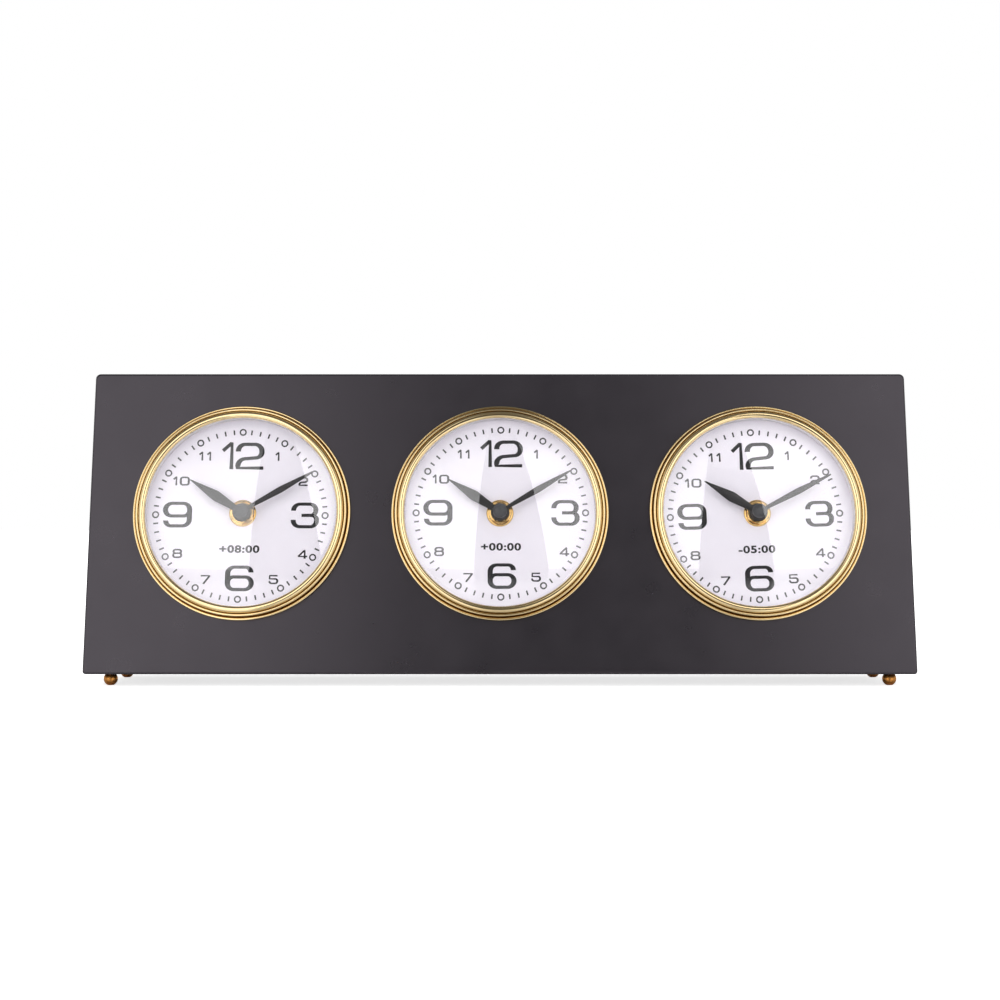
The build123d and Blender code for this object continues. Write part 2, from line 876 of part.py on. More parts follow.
def make_motor_stators():
    """A flat iron frame: yoke with the rotor's hole on one side and the coil's core on the other."""
    window_width = stator_width - stator_yoke - stator_core
    window_x = stator_middle_x - stator_width / 2 + stator_yoke + window_width / 2
    yoke_x = stator_middle_x - stator_width / 2 + stator_yoke / 2
    with BuildPart() as stators:
        for seat in seats.values():
            with BuildSketch(seat.offset(room_front - stator_drop - stator_thickness)) as frame:
                with Locations((stator_middle_x, stator_middle_y)):
                    Rectangle(stator_width, stator_height)
                with Locations((window_x, stator_middle_y)):
                    Rectangle(window_width, stator_height - 2 * stator_arm, mode=Mode.SUBTRACT)
                with Locations((yoke_x, stator_middle_y)):
                    Circle(rotor_hole_radius, mode=Mode.SUBTRACT)
            extrude(frame.sketch, amount=stator_thickness)
    return stators


def make_motor_coils():
    """A bobbin with its winding on each stator's core."""
    stator_middle = room_front - stator_drop - stator_thickness / 2
    winding = coil_width / 2 - coil_winding_margin
    with BuildPart() as coils:
        for seat in seats.values():
            low = stator_middle_y - coil_height / 2
            origin = seat.origin + seat.x_dir * stator_core_x() + seat.z_dir * stator_middle
            bottom = Plane(origin=origin + seat.y_dir * low, x_dir=seat.x_dir, z_dir=seat.y_dir)
            with BuildSketch(bottom, bottom.offset(coil_height - coil_flange)) as flanges:
                RectangleRounded(coil_width, coil_width, coil_flange)
            extrude(flanges.sketch, amount=coil_flange)
            with BuildSketch(bottom) as turns:
                Circle(winding)
            extrude(turns.sketch, amount=coil_height)
            with BuildSketch(bottom) as core:
                Rectangle(stator_core, stator_thickness)
            extrude(core.sketch, amount=coil_height, mode=Mode.SUBTRACT)
    return coils


def add_blade(plane, neck_width, neck_reach, belly_width, belly_reach, tip_width, tip_reach):
    """Adds a hand's blade: it widens from the neck to a rounded belly and tapers to a blunt point."""
    with BuildSketch(plane) as blade:
        Polygon(
            (-neck_width / 2, 0),
            (-neck_width / 2, neck_reach),
            (-belly_width / 2, belly_reach),
            (-tip_width / 2, tip_reach),
            (tip_width / 2, tip_reach),
            (belly_width / 2, belly_reach),
            (neck_width / 2, neck_reach),
            (neck_width / 2, 0),
            align=None,
        )
        sides = blade.vertices().sort_by(Axis.X)
        fillet([sides[0], sides[-1]], radius=belly_round)
    extrude(blade.sketch, amount=blade_thickness)


def make_hour_hand(seat, degrees):
    hand_seat = turned(seat, -degrees)
    with BuildPart() as hand:
        add_blade(
            hand_seat.offset(hour_hub_front - blade_thickness),
            hour_neck_width,
            hour_neck_reach,
            hour_belly_width,
            hour_belly_reach,
            hour_tip_width,
            hour_tip_reach,
        )
        with BuildSketch(hand_seat.offset(hour_hub_back)) as hub:
            Circle(hour_hub_radius)
        extrude(hub.sketch, amount=hour_hub_thickness)
        cut_bore(hand_seat, hour_hub_back, hour_hub_front, hour_pipe_radius)
    return hand


def make_minute_hand(seat, degrees):
    hand_seat = turned(seat, -degrees)
    with BuildPart() as hand:
        add_blade(
            hand_seat.offset(minute_hub_front - blade_thickness),
            minute_neck_width,
            minute_neck_reach,
            minute_belly_width,
            minute_belly_reach,
            minute_tip_width,
            minute_tip_reach,
        )
        with BuildSketch(hand_seat.offset(minute_hub_back)) as hub:
            Circle(minute_hub_radius)
        extrude(hub.sketch, amount=minute_hub_thickness)
        cut_bore(hand_seat, minute_hub_back, minute_hub_front, arbor_thread_radius)
    return hand


def make_hand_nut(seat):
    """A domed cap nut that clamps the minute hand to its arbor."""
    side_top = minute_hub_front + cap_side_height
    with BuildPart() as cap:
        with BuildSketch(section(seat)) as half:
            with BuildLine():
                Polyline(
                    (0, thread_front),
                    (arbor_thread_radius, thread_front),
                    (arbor_thread_radius, minute_hub_front),
                    (cap_radius, minute_hub_front),
                    (cap_radius, side_top),
                )
                TangentArc((0, minute_hub_front + cap_height), (cap_radius, side_top), tangent=(1, 0))
                Line((0, minute_hub_front + cap_height), (0, thread_front))
            make_face()
        revolve(half.sketch, axis=spindle(seat))
    return cap


def make_hour_wheel(seat):
    """The hour wheel with the pipe that carries the hour hand."""
    with BuildPart() as wheel:
        add_gear(seat, hour_wheel_teeth, motion_module, 90, hour_wheel_back, hour_wheel_front)
        with BuildSketch(seat.offset(hour_wheel_back)) as pipe:
            Circle(hour_pipe_radius)
        extrude(pipe.sketch, amount=pipe_front - hour_wheel_back)
        cut_bore(seat, hour_wheel_back, pipe_front, hour_pipe_bore)
    return wheel


def make_minute_arbor(seat):
    """The arbor of the minute hand with its cannon pinion, a rear pivot and a front thread."""
    pivot_back = arbor_back - arbor_pivot_length
    with BuildPart() as arbor:
        cannon_back = cannon_middle - cannon_thickness / 2
        add_gear(seat, cannon_teeth, cannon_module, 90, cannon_back, cannon_back + cannon_thickness)
        add_turned(
            seat,
            [
                (0, pivot_back),
                (arbor_pivot_radius, pivot_back),
                (arbor_pivot_radius, arbor_back),
                (arbor_radius, arbor_back),
                (arbor_radius, minute_hub_back),
                (arbor_thread_radius, minute_hub_back),
                (arbor_thread_radius, thread_front),
                (0, thread_front),
            ],
        )
    return arbor


def make_motion_wheel(seat):
    """The wheel and pinion between the minute arbor and the hour wheel, on the setting arbor."""
    own = setting_seat(seat)
    towards_hands = 270
    pivot_front = motion_pinion_front + setting_pivot_length
    with BuildPart() as wheel:
        gap = towards_hands + 180 / motion_wheel_teeth
        add_gear(own, motion_wheel_teeth, cannon_module, gap, motion_wheel_back, motion_wheel_front)
        gap = towards_hands + 180 / motion_pinion_teeth
        add_gear(own, motion_pinion_teeth, motion_module, gap, motion_wheel_back, motion_pinion_front)
        add_turned(
            own,
            [
                (0, knob_front - knob_arbor_depth),
                (setting_arbor_radius, knob_front - knob_arbor_depth),
                (setting_arbor_radius, motion_wheel_front),
                (setting_pivot_radius, motion_wheel_front),
                (setting_pivot_radius, pivot_front),
                (0, pivot_front),
            ],
        )
    return wheel


def make_set_knob(seat):
    """The grooved knob pressed on the end of the setting arbor, behind the cover."""
    own = setting_seat(seat)
    knob_back = knob_front - knob_height
    with BuildPart() as knob:
        with BuildSketch(own.offset(knob_back)) as disc:
            Circle(knob_radius)
            with PolarLocations(knob_radius, knob_grooves):
                Circle(knob_groove_radius, mode=Mode.SUBTRACT)
        extrude(disc.sketch, amount=knob_height)
        cut_bore(own, knob_front - knob_arbor_depth, knob_front, setting_arbor_radius)
    return knob


finish(make_front_panel(), "front_panel")
finish(make_level_board(top_bottom, case_top, edge_round), "top_panel")
finish(make_base_panel(), "base_panel")
finish(make_end_panel(-1), "left_end_panel")
finish(make_end_panel(1), "right_end_panel")
finish(make_back_panel(), "back_panel")
finish(make_screw_blocks(), "screw_blocks")
finish(make_back_screws(), "back_screws")
finish(make_ball_feet(), "ball_feet")
finish(make_fit_bands(), "fit_bands")
finish(make_lens_gaskets(), "lens_gaskets")
finish(make_dial_washers(), "dial_washers")
finish(make_dial_nuts(), "dial_nuts")
finish(make_cushion_washers(), "cushion_washers")
finish(make_battery_contacts(), "battery_contacts")
finish(make_circuit_boards(), "circuit_boards")
finish(make_motor_stators(), "motor_stators")
finish(make_motor_coils(), "motor_coils")

for name, clock in clocks.items():
    seat = seats[name]
    finish(make_dial_pan(seat), f"{name}_dial_pan")
    finish(make_bezel(seat), f"{name}_bezel")
    finish(make_lens(seat), f"{name}_lens")
    finish(make_dial(seat), f"{name}_dial")
    finish(make_movement_housing(seat), f"{name}_movement_housing")
    finish(make_movement_cover(seat), f"{name}_movement_cover")
    finish(make_battery(seat), f"{name}_battery")
    finish(make_hour_hand(seat, clock["hour"]), f"{name}_hour_hand")
    finish(make_minute_hand(seat, clock["minute"]), f"{name}_minute_hand")
    finish(make_hand_nut(seat), f"{name}_hand_nut")
    finish(make_hour_wheel(seat), f"{name}_hour_wheel")
    finish(make_minute_arbor(seat), f"{name}_minute_arbor")
    finish(make_motion_wheel(seat), f"{name}_motion_wheel")
    finish(make_set_knob(seat), f"{name}_set_knob")
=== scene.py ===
import math

import bpy
from mathutils import Matrix, Vector


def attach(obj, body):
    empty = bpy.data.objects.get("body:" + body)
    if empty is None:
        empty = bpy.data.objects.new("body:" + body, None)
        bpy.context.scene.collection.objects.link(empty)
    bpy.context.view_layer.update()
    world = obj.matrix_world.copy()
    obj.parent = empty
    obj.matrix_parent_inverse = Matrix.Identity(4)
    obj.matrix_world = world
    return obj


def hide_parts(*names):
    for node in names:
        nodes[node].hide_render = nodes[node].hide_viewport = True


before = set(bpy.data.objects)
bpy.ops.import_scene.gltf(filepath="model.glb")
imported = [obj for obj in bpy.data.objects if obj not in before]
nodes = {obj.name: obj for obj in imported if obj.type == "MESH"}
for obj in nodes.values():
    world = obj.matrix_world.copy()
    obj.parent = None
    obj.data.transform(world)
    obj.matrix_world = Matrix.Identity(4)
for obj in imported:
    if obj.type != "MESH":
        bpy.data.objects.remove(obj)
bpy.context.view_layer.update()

# World time clock: three round quartz clocks in a low black case whose face leans back.
# Frame, camera, light, room and floor are in metres; the sizes of case and clocks are in millimetres.
mm = 0.001
print("frame loaded:", len(nodes), "nodes")


def toLinear(hexColour):
    # sRGB hex, as a colour picker shows it, to Blender's linear values
    parts = [int(hexColour[i:i + 2], 16) / 255 for i in (0, 2, 4)]
    return tuple(p / 12.92 if p <= 0.04045 else ((p + 0.055) / 1.055) ** 2.4 for p in parts) + (1.0,)


def setInputs(tree, node, inputs):
    # An input given a socket is linked, any other is set
    for key, value in inputs.items():
        if isinstance(value, bpy.types.NodeSocket):
            tree.links.new(value, node.inputs[key])
        else:
            node.inputs[key].default_value = value


def addNode(tree, kind, inputs=None, **settings):
    node = tree.nodes.new(kind)
    for key, value in settings.items():
        setattr(node, key, value)
    setInputs(tree, node, inputs or {})
    return node


def addMath(tree, operation, *values):
    return addNode(tree, "ShaderNodeMath", dict(enumerate(values)), operation=operation).outputs[0]


def addRange(tree, value, source, target=(0.0, 1.0), interpolation="LINEAR"):
    # A value carried from one range to another, where it stays between the ends
    ends = {"From Min": source[0], "From Max": source[1], "To Min": target[0], "To Max": target[1]}
    node = addNode(tree, "ShaderNodeMapRange", {"Value": value, **ends}, interpolation_type=interpolation)
    return node.outputs[0]


def addColourMix(tree, factor, first, second):
    # From one colour to another; each is a hex colour or a socket
    first, second = [toLinear(c) if isinstance(c, str) else c for c in (first, second)]
    return addNode(tree, "ShaderNodeMix", {0: factor, 6: first, 7: second}, data_type="RGBA").outputs[2]


def addNumberMix(tree, factor, first, second):
    return addNode(tree, "ShaderNodeMix", {0: factor, 2: first, 3: second}, data_type="FLOAT").outputs[0]


def addNoise(tree, place, scale, detail):
    noise = addNode(tree, "ShaderNodeTexNoise", {"Vector": place, "Scale": scale, "Detail": detail})
    return noise.outputs["Fac"]


def addBump(tree, height, strength, distance):
    # Distance is in metres
    bump = addNode(tree, "ShaderNodeBump", {"Height": height, "Strength": strength, "Distance": distance})
    return bump.outputs[0]


def objectPlace(tree):
    return addNode(tree, "ShaderNodeTexCoord").outputs["Object"]


def startMaterial(name):
    material = bpy.data.materials.new(name)
    material.use_nodes = True
    tree = material.node_tree
    return material, tree, tree.nodes["Principled BSDF"]


def startPiece(name, addPrimitive, **settings):
    # Adds one primitive with nothing else selected
    bpy.ops.object.select_all(action="DESELECT")
    addPrimitive(**settings)
    piece = bpy.context.object
    piece.name = name
    return piece


# Camera: level and straight on, four fifths of a metre from the face
camera = {"place": (0.0, -0.8117, 0.0898), "lens": 58.84, "sensor": 36, "near": 0.01}
cameraData = bpy.data.cameras.new("camera")
cameraData.lens = camera["lens"]
cameraData.sensor_width = camera["sensor"]
cameraData.clip_start = camera["near"]
cameraObject = bpy.data.objects.new("camera", cameraData)
bpy.context.scene.collection.objects.link(cameraObject)
cameraObject.location = camera["place"]
cameraObject.rotation_euler = (math.radians(90), 0, 0)
bpy.context.scene.camera = cameraObject
bpy.context.scene.view_settings.view_transform = "Standard"

# Light: two soft boxes in front, whose haze shows in the domed glasses, with a dark gap between them.
# They lean a little and dim towards their top and outer side: dimSide and dimTop are the fractions of the
# box where it is dimmest and where it reaches its full light
light = {
    "boxes": (
        {"sides": (-1.7, -0.175), "tilt": 3.0, "dimSide": (0.0, 0.45), "dimTop": (0.95, 0.38)},
        {"sides": (0.305, 1.7), "tilt": -8.5, "dimSide": (1.0, 0.5), "dimTop": (1.0, 0.65)},
    ),
    "levels": (-0.15, 1.75),
    "away": -1.18,
    "radiance": 1.8,
    "dimmest": 0.1,
    "worldLevel": 1.0,
}
low, high = light["levels"]
for row in light["boxes"]:
    left, right = row["sides"]
    lamp = bpy.data.lights.new("softBox", "AREA")
    lamp.shape = "RECTANGLE"
    lamp.size = right - left
    lamp.size_y = high - low
    lamp.energy = light["radiance"] * math.pi * lamp.size * lamp.size_y
    lamp.use_nodes = True
    face = addNode(lamp.node_tree, "ShaderNodeNewGeometry")
    across = addNode(lamp.node_tree, "ShaderNodeSeparateXYZ", {"Vector": face.outputs["Parametric"]})
    dims = [addRange(lamp.node_tree, across.outputs[axis], row[side], (light["dimmest"], 1.0), "SMOOTHSTEP")
            for axis, side in (("X", "dimSide"), ("Y", "dimTop"))]
    strength = addMath(lamp.node_tree, "MULTIPLY", *dims)
    setInputs(lamp.node_tree, lamp.node_tree.nodes["Emission"], {"Strength": strength})
    box = bpy.data.objects.new("softBox", lamp)
    bpy.context.scene.collection.objects.link(box)
    box.location = ((left + right) / 2, light["away"], (low + high) / 2)
    box.rotation_euler = (math.radians(90), math.radians(row["tilt"]), 0)

world = bpy.data.worlds.new("studio")
bpy.context.scene.world = world
world.use_nodes = True
worldTree = world.node_tree
worldTree.nodes.clear()
white = addNode(worldTree, "ShaderNodeBackground",
                {"Color": toLinear("ffffff"), "Strength": light["worldLevel"]})
addNode(worldTree, "ShaderNodeOutputWorld", {"Surface": white.outputs[0]})

# Room: the studio round the soft boxes, unlit in front and above and pale at its sides, seen only in shiny
# surfaces; to light that was scattered before it is as bright as the world
room = {"radius": 3.0, "back": 1.7, "low": -0.4, "climb": (0.9, 2.4), "levels": (0.1, 0.16),
        "sides": (1.9, 2.5), "sideLevel": 0.8}
shell = startPiece("studio_room", bpy.ops.mesh.primitive_uv_sphere_add, segments=48, ring_count=32,
                   radius=room["radius"], location=(0, 0, 0))
bpy.ops.object.mode_set(mode="EDIT")
bpy.ops.mesh.select_all(action="DESELECT")
bpy.ops.object.mode_set(mode="OBJECT")
for face in shell.data.polygons:
    face.select = face.center.y > room["back"] or face.center.z < room["low"]
bpy.ops.object.mode_set(mode="EDIT")
bpy.ops.mesh.delete(type="FACE")
bpy.ops.object.mode_set(mode="OBJECT")
shell.visible_camera = False
shell.visible_diffuse = False
shell.visible_shadow = False
dim, tree, shader = startMaterial("unlit studio walls")
split = addNode(tree, "ShaderNodeSeparateXYZ", {"Vector": objectPlace(tree)})
climb = addRange(tree, split.outputs["Z"], room["climb"], room["levels"])
aside = addMath(tree, "ABSOLUTE", split.outputs["X"])
pale = addRange(tree, aside, room["sides"], (0.0, room["sideLevel"]), "SMOOTHSTEP")
seen = addNode(tree, "ShaderNodeLightPath").outputs
scattered = addMath(tree, "GREATER_THAN", seen["Diffuse Depth"], 0.5)
level = addNumberMix(tree, scattered, addMath(tree, "MAXIMUM", climb, pale), light["worldLevel"])
setInputs(tree, shader, {"Base Color": toLinear("000000"), "Specular IOR Level": 0.0,
                         "Emission Color": toLinear("ffffff"), "Emission Strength": level})
shell.data.materials.append(dim)

# Floor: pale matt sheet that keeps a soft shadow and turns plain white further out. In shiny surfaces it is
# a polished table, dark further out, that mirrors the boxes
ground = {"size": 8.0, "fade": (0.3, 1.1), "glow": (0.72, 1.0), "table": (0.3, 0.6),
          "tones": ("f4f4f4", "3a3a3c"), "polish": {"Coat Roughness": 0.03, "Coat IOR": 4.0}}
floor = startPiece("floor", bpy.ops.mesh.primitive_plane_add, size=ground["size"], location=(0, 0, 0))
paper, tree, shader = startMaterial("matt studio paper")
away = addNode(tree, "ShaderNodeVectorMath", {0: objectPlace(tree)}, operation="LENGTH").outputs["Value"]
seen = addNode(tree, "ShaderNodeLightPath").outputs
fade = addRange(tree, away, ground["fade"], ground["glow"], "SMOOTHSTEP")
table = addRange(tree, away, ground["table"], interpolation="SMOOTHSTEP")
table = addMath(tree, "MULTIPLY", table, seen["Is Glossy Ray"])
setInputs(tree, shader, {
    "Base Color": addColourMix(tree, table, *ground["tones"]), "Roughness": 0.9, "Specular IOR Level": 0.0,
    "Coat Weight": seen["Is Glossy Ray"], **ground["polish"],
    "Emission Color": toLinear("ffffff"),
    "Emission Strength": addMath(tree, "MULTIPLY", fade, seen["Is Camera Ray"]),
})
floor.data.materials.append(paper)
print("camera, lights and floor are set")


# Clocks: places and rolls as in the part; hands in degrees after twelve; shift is how far the print sits
# off centre
clocks = {
    "left": {"place": -125.6, "roll": -0.3, "hour": 301.8, "minute": 60.1, "offset": "+08:00",
             "shift": (-1.1, -0.9)},
    "centre": {"place": 0.0, "roll": 0.0, "hour": 302.8, "minute": 59.6, "offset": "+00:00",
               "shift": (0.4, 0.2)},
    "right": {"place": 125.6, "roll": 1.5, "hour": 302.0, "minute": 64.2, "offset": "-05:00",
              "shift": (-1.2, -1.0)},
}
# Case: its face leans back from a line at frontY and floorGap; the clocks' middles are clockRise up the face
case = {"lean": 10.5, "frontY": -30.243, "floorGap": 6.3, "clockRise": 78.7}


def clockSeat(clock, turn=0.0):
    # From a clock's own millimetres (+X to three, +Y to twelve, +Z out) to the frame's metres
    lean = math.radians(case["lean"])
    out = Vector((0, -math.cos(lean), math.sin(lean)))
    up = Vector((0, math.sin(lean), math.cos(lean)))
    middle = Vector((clock["place"], case["frontY"], case["floorGap"])) + up * case["clockRise"]
    seat = Matrix((
        (1, up.x, out.x, middle.x),
        (0, up.y, out.y, middle.y),
        (0, up.z, out.z, middle.z),
        (0, 0, 0, 1),
    ))
    return Matrix.Scale(mm, 4) @ seat @ Matrix.Rotation(math.radians(clock["roll"] - turn), 4, "Z")


def arcThrough(a, b, c, count):
    # Points on the circle through three points of a half section, from a to c
    ax, ay, bx, by, cx, cy = *a, *b, *c
    d = 2 * (ax * (by - cy) + bx * (cy - ay) + cx * (ay - by))
    ux = ((ax**2 + ay**2) * (by - cy) + (bx**2 + by**2) * (cy - ay) + (cx**2 + cy**2) * (ay - by)) / d
    uy = ((ax**2 + ay**2) * (cx - bx) + (bx**2 + by**2) * (ax - cx) + (cx**2 + cy**2) * (bx - ax)) / d
    start, middle, end = (math.atan2(y - uy, x - ux) for x, y in (a, b, c))
    sweep = (end - start) % (2 * math.pi)
    if (middle - start) % (2 * math.pi) > sweep:
        sweep -= 2 * math.pi
    radius = math.hypot(ax - ux, ay - uy)
    angles = [start + sweep * i / (count - 1) for i in range(count)]
    return [(ux + radius * math.cos(t), uy + radius * math.sin(t)) for t in angles]


def pickPiece(piece):
    # Makes a piece the active one and the only one selected
    bpy.ops.object.select_all(action="DESELECT")
    piece.select_set(True)
    bpy.context.view_layer.objects.active = piece


def spinPiece(name, section, steps):
    # A lathe: one point is pulled along the half section, which is then spun round the axis
    piece = startPiece(name, bpy.ops.mesh.primitive_plane_add, size=1, location=(0, 0, 0))
    bpy.ops.object.mode_set(mode="EDIT")
    bpy.ops.mesh.merge(type="CENTER")
    bpy.ops.transform.translate(value=(section[0][0], 0, section[0][1]))
    for (r, w), (rNext, wNext) in zip(section, section[1:]):
        bpy.ops.mesh.extrude_vertices_move(TRANSFORM_OT_translate={"value": (rNext - r, 0, wNext - w)})
    bpy.ops.mesh.select_all(action="SELECT")
    bpy.ops.mesh.spin(steps=steps, angle=math.tau, center=(0, 0, 0), axis=(0, 0, 1))
    bpy.ops.mesh.select_all(action="SELECT")
    bpy.ops.mesh.remove_doubles(threshold=0.0005)
    bpy.ops.mesh.normals_make_consistent(inside=False)
    bpy.ops.object.mode_set(mode="OBJECT")
    return piece


def joinPieces(name, pieces):
    bpy.ops.object.select_all(action="DESELECT")
    for piece in pieces:
        piece.select_set(True)
    bpy.context.view_layer.objects.active = pieces[0]
    bpy.ops.object.join()
    pieces[0].name = name
    return pieces[0]


def copyPiece(name, piece):
    twin = piece.copy()
    twin.data = piece.data.copy()
    twin.name = name
    bpy.context.scene.collection.objects.link(twin)
    return twin


def settleTransform(piece):
    # Moves the object's own place, turn and scale into its mesh
    piece.data.transform(piece.matrix_basis)
    piece.matrix_basis = Matrix.Identity(4)
    return piece


def cutPiece(piece, tool, operation):
    # Applies a boolean with a tool that is then thrown away
    pickPiece(piece)
    cut = piece.modifiers.new("cut", "BOOLEAN")
    cut.operation = operation
    cut.solver = "EXACT"
    cut.object = tool
    bpy.ops.object.modifier_apply(modifier=cut.name)
    bpy.data.objects.remove(tool)
    return piece


def softenEdges(piece, width, segments, angle=30):
    pickPiece(piece)
    soften = piece.modifiers.new("soften", "BEVEL")
    soften.width = width
    soften.segments = segments
    soften.limit_method = "ANGLE"
    soften.angle_limit = math.radians(angle)
    bpy.ops.object.modifier_apply(modifier=soften.name)
    return piece


def smoothPiece(piece, angle=35):
    pickPiece(piece)
    bpy.ops.object.shade_smooth_by_angle(angle=math.radians(angle))
    return piece


def markTurning(piece, grooves):
    # Remembers the lathe's own round-and-out coordinates, and marks the grooves, where painted shade goes
    turning, grooveShade = [], []
    for vertex in piece.data.vertices:
        x, y, w = vertex.co
        radius = math.hypot(x, y)
        turning += [x / radius, y / radius, radius + w]
        grooveShade.append(max(float(near < radius < far and w < top) for near, far, top in grooves))
    piece.data.attributes.new("turning", "FLOAT_VECTOR", "POINT").data.foreach_set("vector", turning)
    piece.data.attributes.new("grooveShade", "FLOAT", "POINT").data.foreach_set("value", grooveShade)
    return piece


def softCopy(name, node, width, segments, angle=25):
    # A new mesh with the part's own shape, merged, its edges rounded by a width in millimetres
    piece = bpy.data.objects.new(name, nodes[node].data.copy())
    bpy.context.scene.collection.objects.link(piece)
    piece.data.transform(nodes[node].matrix_world)
    pickPiece(piece)
    if piece.data.has_custom_normals:
        bpy.ops.mesh.customdata_custom_splitnormals_clear()
    bpy.ops.object.mode_set(mode="EDIT")
    bpy.ops.mesh.select_all(action="SELECT")
    bpy.ops.mesh.remove_doubles(threshold=0.000002)
    bpy.ops.mesh.dissolve_limited(angle_limit=math.radians(0.5))
    bpy.ops.object.mode_set(mode="OBJECT")
    softenEdges(piece, width * mm, segments, angle)
    smoothPiece(piece, 35)
    evening = piece.modifiers.new("evening", "WEIGHTED_NORMAL")
    evening.keep_sharp = True
    bpy.ops.object.modifier_apply(modifier=evening.name)
    return piece


def seatPiece(piece, seat, material, body, slot, *replaced):
    # Puts a finished piece where it belongs, gives it its finish and ties it to its body
    piece.data.transform(seat)
    piece.data.materials.clear()
    piece.data.materials.append(material)
    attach(piece, body)
    if replaced:
        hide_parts(*replaced)
    return piece


# The part of a noise's range in which most of it lies
middling = (0.3, 0.7)


def makePolishedBrass():
    # Turned brass, polished: a warm yellow mirror with hair-fine turning lines, dark brown painted shade in
    # its grooves
    material, tree, shader = startMaterial("polished brass, turned")
    turning = addNode(tree, "ShaderNodeAttribute", attribute_name="turning").outputs["Vector"]
    grooveShade = addNode(tree, "ShaderNodeAttribute", attribute_name="grooveShade").outputs["Fac"]
    lines = addNode(tree, "ShaderNodeMapping", {"Vector": turning, "Scale": (0.7, 0.7, 9.0)}).outputs[0]
    fine = addNoise(tree, lines, 1.0, 3.0)
    bright = addColourMix(tree, addNoise(tree, objectPlace(tree), 90.0, 4.0), "eed09a", "f6e0b0")
    rough = addRange(tree, fine, middling, (0.1, 0.12))
    # The groove mask paints dark brown shade into the grooves and also makes them rougher
    setInputs(tree, shader, {
        "Metallic": 1.0, "Base Color": addColourMix(tree, grooveShade, bright, "6b3f12"),
        "Roughness": addMath(tree, "MULTIPLY_ADD", grooveShade, 0.3, rough),
        "Normal": addBump(tree, fine, 0.004, 0.00005),
    })
    return material


def makePlainMetal(name, colours, roughness, scale, bumpDepth):
    # Metal with drifting tone and fine marks; scale is marks per metre
    material, tree, shader = startMaterial(name)
    marks = addNoise(tree, objectPlace(tree), scale, 5.0)
    setInputs(tree, shader, {
        "Metallic": 1.0, "Base Color": addColourMix(tree, marks, *colours),
        "Roughness": addRange(tree, marks, middling, roughness),
        "Normal": addBump(tree, marks, 0.2, bumpDepth),
    })
    return material


def makePlainSurface(name, colours, roughness, scale, bumpDepth, stretch=(1.0, 1.0, 1.0)):
    # Paint, rubber, plastic or card: two close tones and a fine surface; scale is grains per metre
    material, tree, shader = startMaterial(name)
    along = addNode(tree, "ShaderNodeMapping", {"Vector": objectPlace(tree), "Scale": stretch}).outputs[0]
    grain = addNoise(tree, along, scale, 5.0)
    setInputs(tree, shader, {
        "Base Color": addColourMix(tree, grain, *colours), "Specular IOR Level": 0.5,
        "Roughness": addRange(tree, grain, middling, roughness),
        "Normal": addBump(tree, grain, 0.3, bumpDepth),
    })
    return material


def makeCaseBoard(name, inward):
    # Fibre board sprayed black and rubbed to a satin; its inner side, towards inward, is left bare and brown
    material, tree, shader = startMaterial(name)
    place = objectPlace(tree)
    cloud = addNoise(tree, place, 60.0, 5.0)
    fibre = addNoise(tree, place, 1400.0, 6.0)
    sprayed = addColourMix(tree, cloud, "19171b", "1d1b1f")
    bare = addColourMix(tree, fibre, "755836", "b08e62")
    face = addNode(tree, "ShaderNodeNewGeometry").outputs["Normal"]
    turned = addNode(tree, "ShaderNodeVectorMath", {0: face, 1: inward}, operation="DOT_PRODUCT")
    inner = addMath(tree, "GREATER_THAN", turned.outputs["Value"], 0.9)
    satin = addRange(tree, cloud, middling, (0.27, 0.32))
    setInputs(tree, shader, {
        "Base Color": addColourMix(tree, inner, sprayed, bare), "Specular IOR Level": 0.6,
        "Specular Tint": (1.0, 0.9, 1.0, 1.0), "Roughness": addNumberMix(tree, inner, satin, 0.85),
        "Normal": addBump(tree, fibre, 0.15, 0.00002),
    })
    return material


def makeLensGlass():
    # Pressed clear glass: its reflections show, the lamps reach the dial through it
    material, tree, shader = startMaterial("clear pressed glass")
    setInputs(tree, shader, {
        "Base Color": toLinear("ffffff"), "Roughness": 0.0, "IOR": 1.5, "Transmission Weight": 1.0,
        "Coat Weight": 0.4, "Coat Roughness": 0.0, "Coat IOR": 1.6,
    })
    shadow = addNode(tree, "ShaderNodeLightPath").outputs["Is Shadow Ray"]
    passing = addNode(tree, "ShaderNodeBsdfTransparent", {"Color": toLinear("fdfdfd")})
    through = addNode(tree, "ShaderNodeMixShader", {0: shadow, 1: shader.outputs[0], 2: passing.outputs[0]})
    setInputs(tree, tree.nodes["Material Output"], {"Surface": through.outputs[0]})
    return material


brass = makePolishedBrass()
plainBrass = makePlainMetal("polished brass, washers and nuts", ("dfb26a", "efcb8e"), (0.12, 0.22), 400,
                            0.00003)
# Feet: a darker, more orange copy of the brass, painted shade for feet that sit in the shade under the case;
# the lacquer makes it rougher
shadedFootBrass = makePlainMetal("lacquered brass, feet, darkened as painted shade", ("b5793a", "c98d4c"), (0.28, 0.4), 400, 0.00003)
lean = math.radians(case["lean"])
boards = {
    "front_panel": makeCaseBoard("front board, black satin lacquer", (0, math.cos(lean), -math.sin(lean))),
    "top_panel": makeCaseBoard("top board, black satin lacquer", (0, 0, -1)),
    "base_panel": makeCaseBoard("base board, black satin lacquer", (0, 0, 1)),
    "left_end_panel": makeCaseBoard("left end board, black satin lacquer", (1, 0, 0)),
    "right_end_panel": makeCaseBoard("right end board, black satin lacquer", (-1, 0, 0)),
}
hardboard = makePlainSurface("hardboard, black stained", ("1d1b1a", "2b2826"), (0.62, 0.8), 900, 0.0001)
pine = makePlainSurface("raw pine, planed", ("c79c63", "e2c08a"), (0.6, 0.75), 160, 0.0001, (0.08, 1.0, 1.0))
zinc = makePlainMetal("steel, bright zinc plated", ("b9b8ae", "d9d8d2"), (0.22, 0.36), 700, 0.00003)
blackRubber = makePlainSurface("black rubber, moulded", ("161616", "1f1f1f"), (0.7, 0.85), 800, 0.00005)
